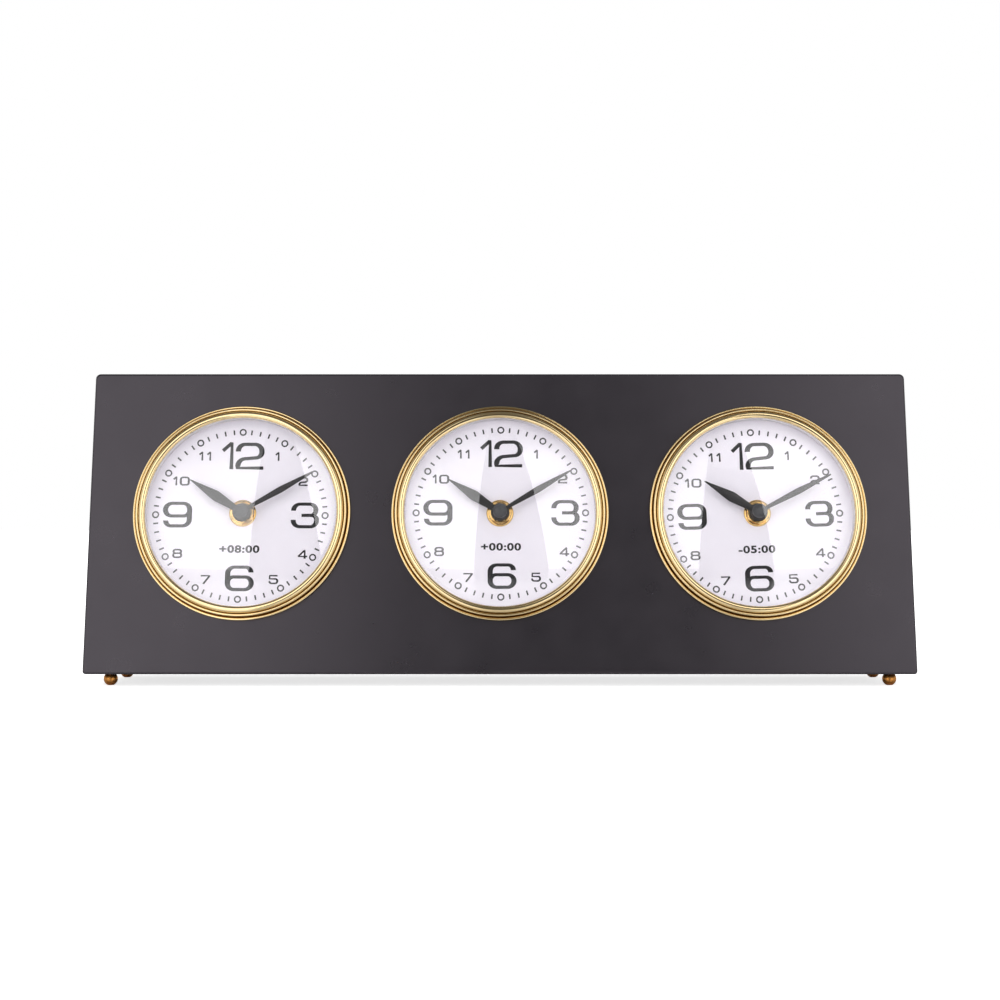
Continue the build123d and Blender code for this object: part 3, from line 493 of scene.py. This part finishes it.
whiteRubber = makePlainSurface("white rubber, moulded", ("d5d3cf", "e2e0dc"), (0.6, 0.75), 800, 0.00003)
springSteel = makePlainMetal("nickel plated spring steel", ("c3bda9", "d8d3c2"), (0.2, 0.3), 500, 0.00002)
laminate = makePlainSurface("circuit laminate, brown", ("6b4a26", "80592f"), (0.4, 0.55), 500, 0.00003)
softIron = makePlainMetal("soft iron, stamped", ("8f8f8f", "aaaaaa"), (0.35, 0.5), 600, 0.00003)
copperWire = makePlainMetal("enamelled copper wire", ("b5622f", "d07d43"), (0.25, 0.4), 900, 0.00008)
whiteEnamel = makePlainSurface("steel, white enamelled", ("dedbe0", "e8e5ea"), (0.35, 0.45), 200, 0.00001)
dialCard = makePlainSurface("dial, white printing on aluminium", ("efeaf4", "f6f1fa"), (0.5, 0.6), 120,
                            0.000005)
ink = makePlainSurface("black screen ink", ("151317", "1b191d"), (0.45, 0.6), 1500, 0.000003)
handLacquer = makePlainSurface("black hand lacquer", ("1a171a", "211e21"), (0.3, 0.42), 900, 0.000008)
capLacquer = makePlainSurface("black cap, scuffed", ("1f1f22", "58585b"), (0.4, 0.6), 1400, 0.00008)
movementPlastic = makePlainSurface("ABS, black, spark eroded mould", ("17181a", "202124"), (0.5, 0.62), 3000,
                                   0.00004)
acetal = makePlainSurface("white acetal, moulded", ("e4e2da", "efede6"), (0.35, 0.45), 700, 0.00001)
turnedSteel = makePlainMetal("turned steel", ("a8a8a8", "c4c4c4"), (0.2, 0.32), 800, 0.00002)
sleeve = makePlainSurface("battery sleeve, printed film", ("565c63", "666c73"), (0.25, 0.35), 300, 0.000005)
glass = makeLensGlass()
print("materials are made")

# CAD nodes that keep their shape get their finish here
finishes = {
    **boards, "back_panel": hardboard,
    "screw_blocks": pine, "back_screws": zinc, "ball_feet": shadedFootBrass,
    "fit_bands": blackRubber, "lens_gaskets": whiteRubber, "dial_washers": plainBrass,
    "dial_nuts": plainBrass, "cushion_washers": blackRubber, "battery_contacts": springSteel,
    "circuit_boards": laminate, "motor_stators": softIron, "motor_coils": copperWire,
}
for name in clocks:
    finishes.update({
        f"{name}_dial_pan": whiteEnamel, f"{name}_bezel": plainBrass, f"{name}_lens": glass,
        f"{name}_dial": dialCard, f"{name}_movement_housing": movementPlastic,
        f"{name}_movement_cover": movementPlastic, f"{name}_battery": sleeve,
        f"{name}_hour_hand": handLacquer, f"{name}_minute_hand": handLacquer, f"{name}_hand_nut": capLacquer,
        f"{name}_hour_wheel": acetal, f"{name}_minute_arbor": turnedSteel, f"{name}_motion_wheel": acetal,
        f"{name}_set_knob": movementPlastic,
    })
for name, node in nodes.items():
    node.data.materials.clear()
    node.data.materials.append(finishes[name])
print("CAD nodes have their finishes")


# Bezel: a spun ring with a low bead, a higher bead behind a dark groove and a tall roll at the glass's edge
def makeBezel(name):
    section = [(52.9, 0.06), (52.84, 0.0), (52.1, 0.0), (52.1, 0.8), (47.85, 0.8), (47.85, 4.0), (46.46, 4.0),
               (46.4, 4.06)]
    section += arcThrough((46.4, 4.4), (48.025, 5.4), (49.64, 3.62), 19)
    section += [(49.66, 3.3), (49.74, 3.12), (49.86, 3.12), (49.94, 3.3)]
    section += arcThrough((49.95, 3.5), (50.55, 4.1), (51.15, 3.5), 13)
    section += [(51.2, 2.6), (51.3, 1.5), (51.36, 1.05), (51.46, 0.9), (51.6, 0.9), (51.68, 1.05)]
    section += arcThrough((51.7, 1.28), (52.3, 1.88), (52.9, 1.28), 13)
    section += [(52.9, 0.06)]
    piece = spinPiece(name, section, 288)
    markTurning(piece, [(51.34, 51.72, 1.2), (49.65, 49.95, 3.35)])
    return smoothPiece(piece, 40)


# Lens: a pressed dome of even wall with a flat ground edge under the bezel's lip
lens = {"edge": 47.7, "crown": 46.25, "back": 2.4, "front": 4.0, "rise": 7.0, "groundEdge": 0.15,
        "steps": 160}


def makeLens(name):
    back, front, rise, crown, edge = [lens[key] for key in ("back", "front", "rise", "crown", "edge")]
    half, trim = crown / 2, lens["groundEdge"]
    midway = domeHeight(half, crown, rise)
    outer = arcThrough((0, front + rise), (half, midway + front), (crown, front), 33)
    inner = arcThrough((crown, back), (half, midway + back), (0, back + rise), 33)
    section = outer + [(edge - trim, front), (edge, front - trim), (edge, back + trim), (edge - trim, back)]
    section += inner
    piece = spinPiece(name, section, lens["steps"])
    return smoothPiece(piece, 30)


def domeHeight(r, crown, rise):
    # Height of a spherical dome at radius r
    radius = (crown**2 + rise**2) / (2 * rise)
    return math.sqrt(radius**2 - r**2) - (radius - rise)


# Dial print: strokes of ink laid on the card, a hair proud of it
dialPrint = {
    "top": -2.5, "thickness": 0.05, "markRadius": 41.2, "dash": (0.75, 2.4), "ringRadius": 1.4,
    "ringPen": 0.36, "bigStretch": 1.52, "smallStretch": 1.25, "uprightPen": 1.08, "digitWidth": 13.4,
    "oneWidth": 4.6, "oneShift": 2.0, "offsetHeight": 3.6, "capitalHeight": 0.73, "offsetStretch": 1.3,
    "offsetRise": -16.9, "offsetBold": 0.16, "offsetSpacing": 1.1,
}
# Each numeral is pen paths in millimetres, as points with the radius of each corner
numerals = {
    "0": [[(0, 5.8, 0), (-5.8, 5.8, 3.2), (-5.8, -5.8, 3.2), (5.8, -5.8, 3.2), (5.8, 5.8, 3.2), (0, 5.8, 0)]],
    "1": [[(-4.2, 2.6, 0), (-0.5, 6.1, 0), (0, 6.1, 0), (0, -6.5, 0)]],
    "2": [[(-5.6, 2.3, 0), (-5.6, 5.85, 3.2), (5.6, 5.85, 3.4), (5.6, -0.6, 2.8), (-5.6, -1.6, 3.4),
           (-5.6, -5.85, 0), (6.5, -5.85, 0)]],
    "3": [[(-5.7, 2.4, 0), (-5.7, 5.8, 3.2), (5.35, 5.8, 2.9), (5.35, 0.1, 2.3), (-1.7, 0.0, 0)],
          [(3.0, 0.0, 0), (5.8, -0.1, 2.2), (5.8, -5.8, 3.0), (-5.75, -5.8, 3.2), (-5.75, -2.3, 0)]],
    "4": [[(2.7, -6.5, 0), (2.7, 5.9, 0), (2.1, 5.9, 0), (-6.0, -2.3, 0), (-6.0, -3.0, 0), (6.4, -3.0, 0)]],
    "5": [[(5.8, 5.85, 0), (-5.3, 5.85, 0), (-5.5, 1.0, 0), (5.7, 1.0, 3.0), (5.7, -5.85, 3.2),
           (-5.7, -5.85, 3.2), (-5.7, -2.8, 0)]],
    "6": [[(5.5, 3.1, 0), (5.5, 5.8, 2.6), (-5.8, 5.8, 3.2), (-5.8, -5.8, 3.2), (5.8, -5.8, 3.2),
           (5.8, 0.7, 3.0), (-5.8, 0.7, 2.8), (-5.8, -2.4, 0)]],
    "7": [[(-6.2, 5.85, 0), (6.0, 5.85, 0), (6.0, 5.2, 0), (-2.4, -6.5, 0)]],
    "8": [[(0, 0.3, 0), (-5.4, 0.3, 2.6), (-5.4, 5.85, 2.9), (5.4, 5.85, 2.9), (5.4, 0.3, 2.6), (0, 0.3, 0)],
          [(0, 0.3, 0), (-5.8, 0.3, 2.8), (-5.8, -5.85, 3.0), (5.8, -5.85, 3.0), (5.8, 0.3, 2.8),
           (0, 0.3, 0)]],
    "9": [[(-5.5, -3.1, 0), (-5.5, -5.8, 2.6), (5.8, -5.8, 3.2), (5.8, 5.8, 3.2), (-5.8, 5.8, 3.2),
           (-5.8, -0.7, 3.0), (5.8, -0.7, 2.8), (5.8, 2.4, 0)]],
}
# Text, place right and up, width and height against the paths, pen and the gap between digits
small = (0.335, 0.32, 0.76)
places = [("12", 0.5, 29.3, 1.03, 1.01, 1.66, 1.7), ("3", 31.4, 0.0, 0.98, 0.96, 1.56, 0),
          ("6", 0.6, -31.0, 0.99, 0.94, 1.56, 0), ("9", -30.6, 0.1, 1.01, 0.96, 1.56, 0),
          ("10", -29.3, 16.7, *small, 5.1), ("11", -18.3, 29.1, *small, 6.9)]
places += [(text, x, y, *small, 0) for text, x, y in (
    ("1", 17.1, 29.1), ("2", 30.2, 16.8), ("4", 30.9, -19.2), ("5", 17.0, -31.5), ("7", -16.0, -31.7),
    ("8", -29.9, -19.0))]


def roundedPath(points):
    # The pen's path with each corner rounded by its own radius
    path = []
    for i, (x, y, radius) in enumerate(points):
        here = Vector((x, y))
        if radius == 0:
            path.append(here)
            continue
        before = (Vector(points[i - 1][:2]) - here).normalized()
        after = (Vector(points[i + 1][:2]) - here).normalized()
        half = before.angle(after) / 2
        reach = radius / math.tan(half)
        centre = here + (before + after).normalized() * radius / math.sin(half)
        start, end = here + before * reach - centre, here + after * reach - centre
        for k in range(8):
            turn = start.lerp(end, k / 7)
            path.append(centre + turn.normalized() * radius)
    return path


def makeStroke(path, pen, stretch):
    # A flat ribbon of ink: the path as a curve with a thin flattened tube, then made a mesh
    curveData = bpy.data.curves.new("stroke", "CURVE")
    curveData.dimensions = "3D"
    curveData.twist_mode = "Z_UP"
    spline = curveData.splines.new("POLY")
    spline.points.add(len(path) - 1)
    for point, place in zip(spline.points, path):
        point.co = (place.x / stretch, place.y, 0, 1)
    curveData.bevel_depth = pen / 2
    curveData.bevel_resolution = 0
    curveData.use_fill_caps = True
    stroke = bpy.data.objects.new("stroke", curveData)
    bpy.context.scene.collection.objects.link(stroke)
    pickPiece(stroke)
    bpy.ops.object.convert(target="MESH")
    bpy.ops.object.mode_set(mode="EDIT")
    bpy.ops.mesh.select_all(action="SELECT")
    bpy.ops.transform.resize(value=(stretch, 1, dialPrint["thickness"] / pen * 2), center_override=(0, 0, 0))
    bpy.ops.object.mode_set(mode="OBJECT")
    return bpy.context.object


def makeNumeral(text, x, y, wide, tall, pen, gap):
    # A pen stretched sideways makes upright strokes broader than level ones; a one has an even pen
    strokes = []
    stretch = dialPrint["bigStretch"] if wide > small[0] else dialPrint["smallStretch"]
    widths = [dialPrint["oneWidth"] if digit == "1" else dialPrint["digitWidth"] for digit in text]
    left = -(sum(widths) + gap * (len(text) - 1)) / 2
    for digit, width in zip(text, widths):
        upright = digit == "1"
        middle = left + width / 2 + (dialPrint["oneShift"] if upright else 0.0)
        breadth = pen / tall * (dialPrint["uprightPen"] if upright else 1.0)
        for path in numerals[digit]:
            stroke = makeStroke(roundedPath(path), breadth, 1.0 if upright else stretch)
            stroke.data.transform(Matrix.Translation((x, y, 0)) @ Matrix.Diagonal((wide, tall, 1, 1))
                                  @ Matrix.Translation((middle, 0, 0)))
            strokes.append(stroke)
        left += width + gap
    return strokes


def makeDialPrint(name, offsetText, shift):
    strokes = []
    for row in places:
        strokes += makeNumeral(*row)
    width, length = dialPrint["dash"]
    dash = startPiece("dash", bpy.ops.mesh.primitive_cube_add, size=1,
                      location=(0, dialPrint["markRadius"], 0), scale=(width, length, dialPrint["thickness"]))
    settleTransform(dash)
    softenEdges(dash, 0.12, 2, 60)
    ring = startPiece("ring", bpy.ops.mesh.primitive_torus_add, major_radius=dialPrint["ringRadius"],
                      minor_radius=dialPrint["ringPen"], major_segments=28, minor_segments=4,
                      location=(0, dialPrint["markRadius"], 0))
    bpy.ops.object.mode_set(mode="EDIT")
    bpy.ops.mesh.select_all(action="SELECT")
    bpy.ops.transform.resize(value=(1, 1, dialPrint["thickness"] / 2 / dialPrint["ringPen"]))
    bpy.ops.object.mode_set(mode="OBJECT")
    settleTransform(ring)
    for minute in range(60):
        mark = copyPiece("mark", ring if minute % 5 == 0 else dash)
        mark.data.transform(Matrix.Rotation(-math.radians(6 * minute), 4, "Z"))
        strokes.append(mark)
    bpy.data.objects.remove(dash)
    bpy.data.objects.remove(ring)
    letters = bpy.data.curves.new("offset", "FONT")
    letters.body = offsetText
    letters.size = dialPrint["offsetHeight"] / dialPrint["capitalHeight"]
    letters.align_x = "CENTER"
    letters.align_y = "CENTER"
    letters.offset = dialPrint["offsetBold"]
    letters.extrude = dialPrint["thickness"] / 2
    letters.space_character = dialPrint["offsetSpacing"]
    offset = bpy.data.objects.new("offset", letters)
    bpy.context.scene.collection.objects.link(offset)
    pickPiece(offset)
    bpy.ops.object.convert(target="MESH")
    offset = bpy.context.object
    offset.data.transform(Matrix.Translation((0, dialPrint["offsetRise"], 0))
                          @ Matrix.Diagonal((dialPrint["offsetStretch"], 1, 1, 1)))
    strokes.append(offset)
    piece = joinPieces(name, strokes)
    piece.data.transform(Matrix.Translation((*shift, dialPrint["top"] + dialPrint["thickness"] / 2)))
    return piece


# Hands: pressed blades with softened edges on round hubs, hour below and minute above
hands = {
    "hour": {"rows": [(0, 1.5), (4.0, 1.5), (8.0, 1.88), (12.0, 2.28), (14.5, 2.54), (15.0, 2.55),
                      (18.6, 2.02), (21.0, 1.62), (24.0, 1.13), (27.0, 0.65), (29.9, 0.26)],
             "hub": 4.3, "hubLevels": (0.8, 1.4), "bladeLevels": (1.0, 1.4), "bore": 2.76},
    "minute": {"rows": [(0, 0.84), (3.5, 0.84), (8.0, 1.02), (14.0, 1.26), (18.6, 1.45), (20.2, 1.52),
                        (21.5, 1.54), (22.8, 1.49), (25.0, 1.38), (29.0, 1.13), (34.0, 0.8), (38.0, 0.52),
                        (39.8, 0.3)],
               "hub": 3.9, "hubLevels": (2.4, 3.2), "bladeLevels": (2.8, 3.2), "bore": 1.41},
}


def makeHand(name, sizes):
    # The blade grows row by row from the middle, where a hole is cut and a hub ring set in
    low, high = sizes["bladeLevels"]
    rows = sizes["rows"]
    piece = startPiece(name, bpy.ops.mesh.primitive_plane_add, size=1, location=(0, 0, low))
    mesh = piece.data
    bpy.ops.object.mode_set(mode="EDIT")
    bpy.ops.mesh.select_all(action="DESELECT")
    bpy.ops.object.mode_set(mode="OBJECT")
    for vertex in mesh.vertices:
        far = vertex.co.y > 0
        reach, half = rows[1] if far else rows[0]
        vertex.co.y = reach
        vertex.co.x = math.copysign(half, vertex.co.x)
        vertex.select = far
    for edge in mesh.edges:
        edge.select = all(mesh.vertices[v].co.y > 1 for v in edge.vertices)
    bpy.ops.object.mode_set(mode="EDIT")
    bpy.ops.mesh.select_mode(type="EDGE")
    for (reach, half), (nextReach, nextHalf) in zip(rows[1:], rows[2:]):
        bpy.ops.mesh.extrude_region_move(TRANSFORM_OT_translate={"value": (0, nextReach - reach, 0)})
        bpy.ops.transform.resize(value=(nextHalf / half, 1, 1), center_override=(0, nextReach, low))
    bpy.ops.mesh.select_mode(type="FACE")
    bpy.ops.mesh.select_all(action="SELECT")
    bpy.ops.mesh.extrude_region_move(TRANSFORM_OT_translate={"value": (0, 0, high - low)})
    bpy.ops.mesh.select_all(action="SELECT")
    bpy.ops.mesh.normals_make_consistent(inside=False)
    bpy.ops.mesh.select_mode(type="VERT")
    bpy.ops.object.mode_set(mode="OBJECT")
    settleTransform(piece)
    hubLow, hubHigh = sizes["hubLevels"]
    hub, bore = sizes["hub"], sizes["bore"]
    section = [(bore, hubLow), (hub - 0.08, hubLow), (hub, hubLow + 0.08), (hub, hubHigh - 0.12),
               (hub - 0.04, hubHigh - 0.04), (hub - 0.12, hubHigh), (bore + 0.08, hubHigh),
               (bore, hubHigh - 0.08), (bore, hubLow)]
    ring = spinPiece("hub", section, 72)
    hole = startPiece("hole", bpy.ops.mesh.primitive_cylinder_add, vertices=72, radius=(hub + bore) / 2,
                      depth=4, location=(0, 0, (low + high) / 2))
    cutPiece(piece, hole, "DIFFERENCE")
    softenEdges(piece, 0.07, 2, 40)
    return smoothPiece(joinPieces(name, [piece, ring]), 35)


# Cap: a small black dome screwed over the hands. Washer and nut hold the movement to the dial
cap = {"radius": 3.4, "low": 3.2, "side": 5.8, "top": 7.0, "bore": 1.4}
nut = {"flats": 10.3, "low": -1.9, "high": 0.1, "bore": 3.9}
washer = {"radius": 6.6, "low": -2.5, "high": -1.9}


def makeCap(name):
    radius, low, side, top, bore = [cap[key] for key in ("radius", "low", "side", "top", "bore")]
    section = [(bore, low), (radius - 0.15, low), (radius, low + 0.15), (radius, side - 0.3),
               (radius - 0.08, side - 0.12), (radius - 0.3, side), (radius - 0.36, side + 0.02)]
    section += arcThrough((radius - 0.38, side + 0.05), (radius * 0.58, top - 0.3), (0, top), 14)
    section += [(0, top - 0.6), (bore, top - 0.8), (bore, low)]
    return smoothPiece(spinPiece(name, section, 72), 35)


def makeNut(name):
    # A hexagonal prism, whose upper corners and bore come from a turned blank
    low, high, bore = nut["low"], nut["high"], nut["bore"]
    flat, corner = nut["flats"] / 2, nut["flats"] / math.sqrt(3)
    piece = startPiece(name, bpy.ops.mesh.primitive_cylinder_add, vertices=6, radius=corner, depth=high - low,
                       location=(0, 0, (high + low) / 2))
    settleTransform(piece)
    section = [(bore, low), (corner + 0.01, low), (corner + 0.01, high - 0.62), (flat + 0.1, high - 0.12),
               (flat - 0.25, high), (bore + 0.35, high), (bore, high - 0.35), (bore, low)]
    turned = spinPiece("turned", section, 72)
    cutPiece(piece, turned, "INTERSECT")
    softenEdges(piece, 0.06, 2, 40)
    return smoothPiece(piece, 30)


def makeWasher(name):
    low, high, radius, bore = washer["low"], washer["high"], washer["radius"], nut["bore"]
    section = [(bore, low), (radius - 0.06, low), (radius, low + 0.06)]
    section += arcThrough((radius, low + 0.1), (radius - 0.55, high - 0.12), (radius - 1.4, high), 10)
    section += [(bore + 0.1, high), (bore, high - 0.1), (bore, low)]
    return smoothPiece(spinPiece(name, section, 96), 35)


# Feet: turned brass balls with a small flat, a collar and a stud that goes into the base
foot = {"radius": 3.4, "flat": 1.5, "collar": 1.8, "stud": 1.5, "baseLow": 6.85, "studHigh": 13.85,
        "across": 189.1, "deep": 17.6}


def makeFoot(name):
    radius, flat, collar, stud = [foot[key] for key in ("radius", "flat", "collar", "stud")]
    baseLow, studHigh = foot["baseLow"], foot["studHigh"]
    middle = math.sqrt(radius**2 - flat**2)
    neck = middle + math.sqrt(radius**2 - collar**2)
    section = [(0, 0), (flat - 0.1, 0.0)]
    section += arcThrough((flat, 0.02), (radius, middle), (collar + 0.1, neck - 0.06), 29)
    section += [(collar + 0.02, neck + 0.05), (collar, neck + 0.12), (collar, baseLow), (stud, baseLow),
                (stud, studHigh), (0, studHigh)]
    return smoothPiece(spinPiece(name, section, 64), 35)


# Battery: a plain sleeve rolled over steel ends, with the raised contact to the right
battery = {"radius": 7.25, "rolledTo": 6.05, "rise": -19.25, "out": -12.95, "ends": (-24.1, 25.2),
           "nub": 2.75, "tip": 26.4}


def layAlong(piece):
    # Turns a lathe's axis to the movement's long side and moves it into the battery bay
    bay = Matrix.Translation((0, battery["rise"], battery["out"]))
    piece.data.transform(bay @ Matrix.Rotation(math.pi / 2, 4, "Y"))
    return piece


def makeSleeve(name):
    low, high = battery["ends"]
    radius, inner = battery["radius"], battery["rolledTo"]
    section = [(inner + 0.1, low), (radius - 0.35, low), (radius - 0.1, low + 0.12), (radius, low + 0.4),
               (radius, high - 0.4), (radius - 0.1, high - 0.12), (radius - 0.35, high), (inner + 0.1, high),
               (inner, high - 0.2), (inner, low + 0.2), (inner + 0.1, low)]
    return smoothPiece(layAlong(spinPiece(name, section, 64)), 35)


def makeCellEnds(name):
    low, high = battery["ends"]
    inner, nub, tip = battery["rolledTo"], battery["nub"], battery["tip"]
    section = [(0, low + 0.02), (4.2, low + 0.02), (4.6, low + 0.25), (inner, low + 0.25),
               (inner, high - 0.5), (inner - 0.8, high - 0.25), (nub + 0.35, high - 0.25),
               (nub + 0.05, high - 0.1), (nub, high + 0.2), (nub - 0.05, tip - 0.2), (nub - 0.3, tip),
               (0, tip)]
    return smoothPiece(layAlong(spinPiece(name, section, 64)), 35)


# Cover: the part's plate with a raised ring round the knob, two ribs and the signs of the battery's poles
cover = {"back": -20.4, "knobRise": 11.0, "ring": (7.2, 8.2), "proud": 0.35, "signs": (21.0, -7.6)}


def makeCover(name, node, clock):
    near, far = cover["ring"]
    back, proud = cover["back"], cover["proud"]
    ring = spinPiece("ring", [(near, back + 0.2), (near, back - proud + 0.12), (near + 0.12, back - proud),
                              (far - 0.12, back - proud), (far, back - proud + 0.12), (far, back + 0.2)], 64)
    ring.data.transform(Matrix.Translation((0, cover["knobRise"], 0)))
    across, rise = cover["signs"]
    raised = [ring]
    for x, y, width, height in ((0, 24.5, 36, 0.9), (0, 22.5, 36, 0.9), (across, rise, 3.4, 0.8),
                                (across, rise, 0.8, 3.4), (-across, rise, 3.4, 0.8)):
        bar = startPiece("bar", bpy.ops.mesh.primitive_cube_add, size=1, location=(x, y, back),
                         scale=(width, height, 2 * proud))
        raised.append(softenEdges(settleTransform(bar), 0.12, 2))
    marks = joinPieces("marks", raised)
    marks.data.transform(clockSeat(clock))
    return smoothPiece(joinPieces(name, [softCopy(name, node, 0.25, 2), marks]), 35)


# Case: these boards, the back and its screws keep the part's shape, with broken edges; the front board's
# edges are round in the part
plainSeat = Matrix.Identity(4)
for name in ("top_panel", "base_panel", "left_end_panel", "right_end_panel"):
    seatPiece(softCopy(f"{name}_board", name, 0.5, 3), plainSeat, boards[name], "case",
              "black_lacquered_wood", name)
seatPiece(softCopy("back_board", "back_panel", 0.3, 2), plainSeat, hardboard, "case", "black_hardboard",
          "back_panel")
seatPiece(softCopy("back_cross_screws", "back_screws", 0.12, 2), plainSeat, zinc, "case", "zinc_plated_steel",
          "back_screws")
for sideName, side in (("left", -1), ("right", 1)):
    for endName, end in (("front", -1), ("rear", 1)):
        seat = Matrix.Scale(mm, 4) @ Matrix.Translation((side * foot["across"], end * foot["deep"], 0))
        seatPiece(makeFoot(f"{sideName}_{endName}_foot"), seat, shadedFootBrass, "case", "polished_brass",
                  "ball_feet")
print("case is dressed")

for name, clock in clocks.items():
    seat = clockSeat(clock)
    seatPiece(makeBezel(f"{name}_bezel_ring"), seat, brass, "case", "polished_brass", f"{name}_bezel")
    seatPiece(makeLens(f"{name}_lens_glass"), seat, glass, "case", "clear_glass", f"{name}_lens")
    seatPiece(makeDialPrint(f"{name}_dial_print", clock["offset"], clock["shift"]), seat, ink, "case",
              "printed_dial_card")
    for hand in hands:
        seatPiece(makeHand(f"{name}_{hand}_blade", hands[hand]), clockSeat(clock, clock[hand]), handLacquer,
                  f"{name}_{hand}", "black_lacquered_hand", f"{name}_{hand}_hand")
    seatPiece(makeCap(f"{name}_cap"), seat, capLacquer, f"{name}_minute", "black_lacquered_hand",
              f"{name}_hand_nut")
    seatPiece(makeWasher(f"{name}_dial_washer"), seat, plainBrass, "case", "polished_brass", "dial_washers")
    seatPiece(makeNut(f"{name}_dial_nut"), seat, plainBrass, "case", "polished_brass", "dial_nuts")
    seatPiece(softCopy(f"{name}_housing_shell", f"{name}_movement_housing", 0.25, 2), plainSeat,
              movementPlastic, "case", "black_movement_plastic", f"{name}_movement_housing")
    seatPiece(makeCover(f"{name}_cover_plate", f"{name}_movement_cover", clock), plainSeat, movementPlastic,
              "case", "black_movement_plastic", f"{name}_movement_cover")
    seatPiece(softCopy(f"{name}_knurled_knob", f"{name}_set_knob", 0.15, 2), plainSeat, movementPlastic,
              f"{name}_setting", "black_movement_plastic", f"{name}_set_knob")
    seatPiece(makeSleeve(f"{name}_cell_sleeve"), seat, sleeve, "case", "battery_sleeve", f"{name}_battery")
    seatPiece(makeCellEnds(f"{name}_cell_ends"), seat, zinc, "case", "battery_sleeve", f"{name}_battery")
    print(name, "clock is dressed")
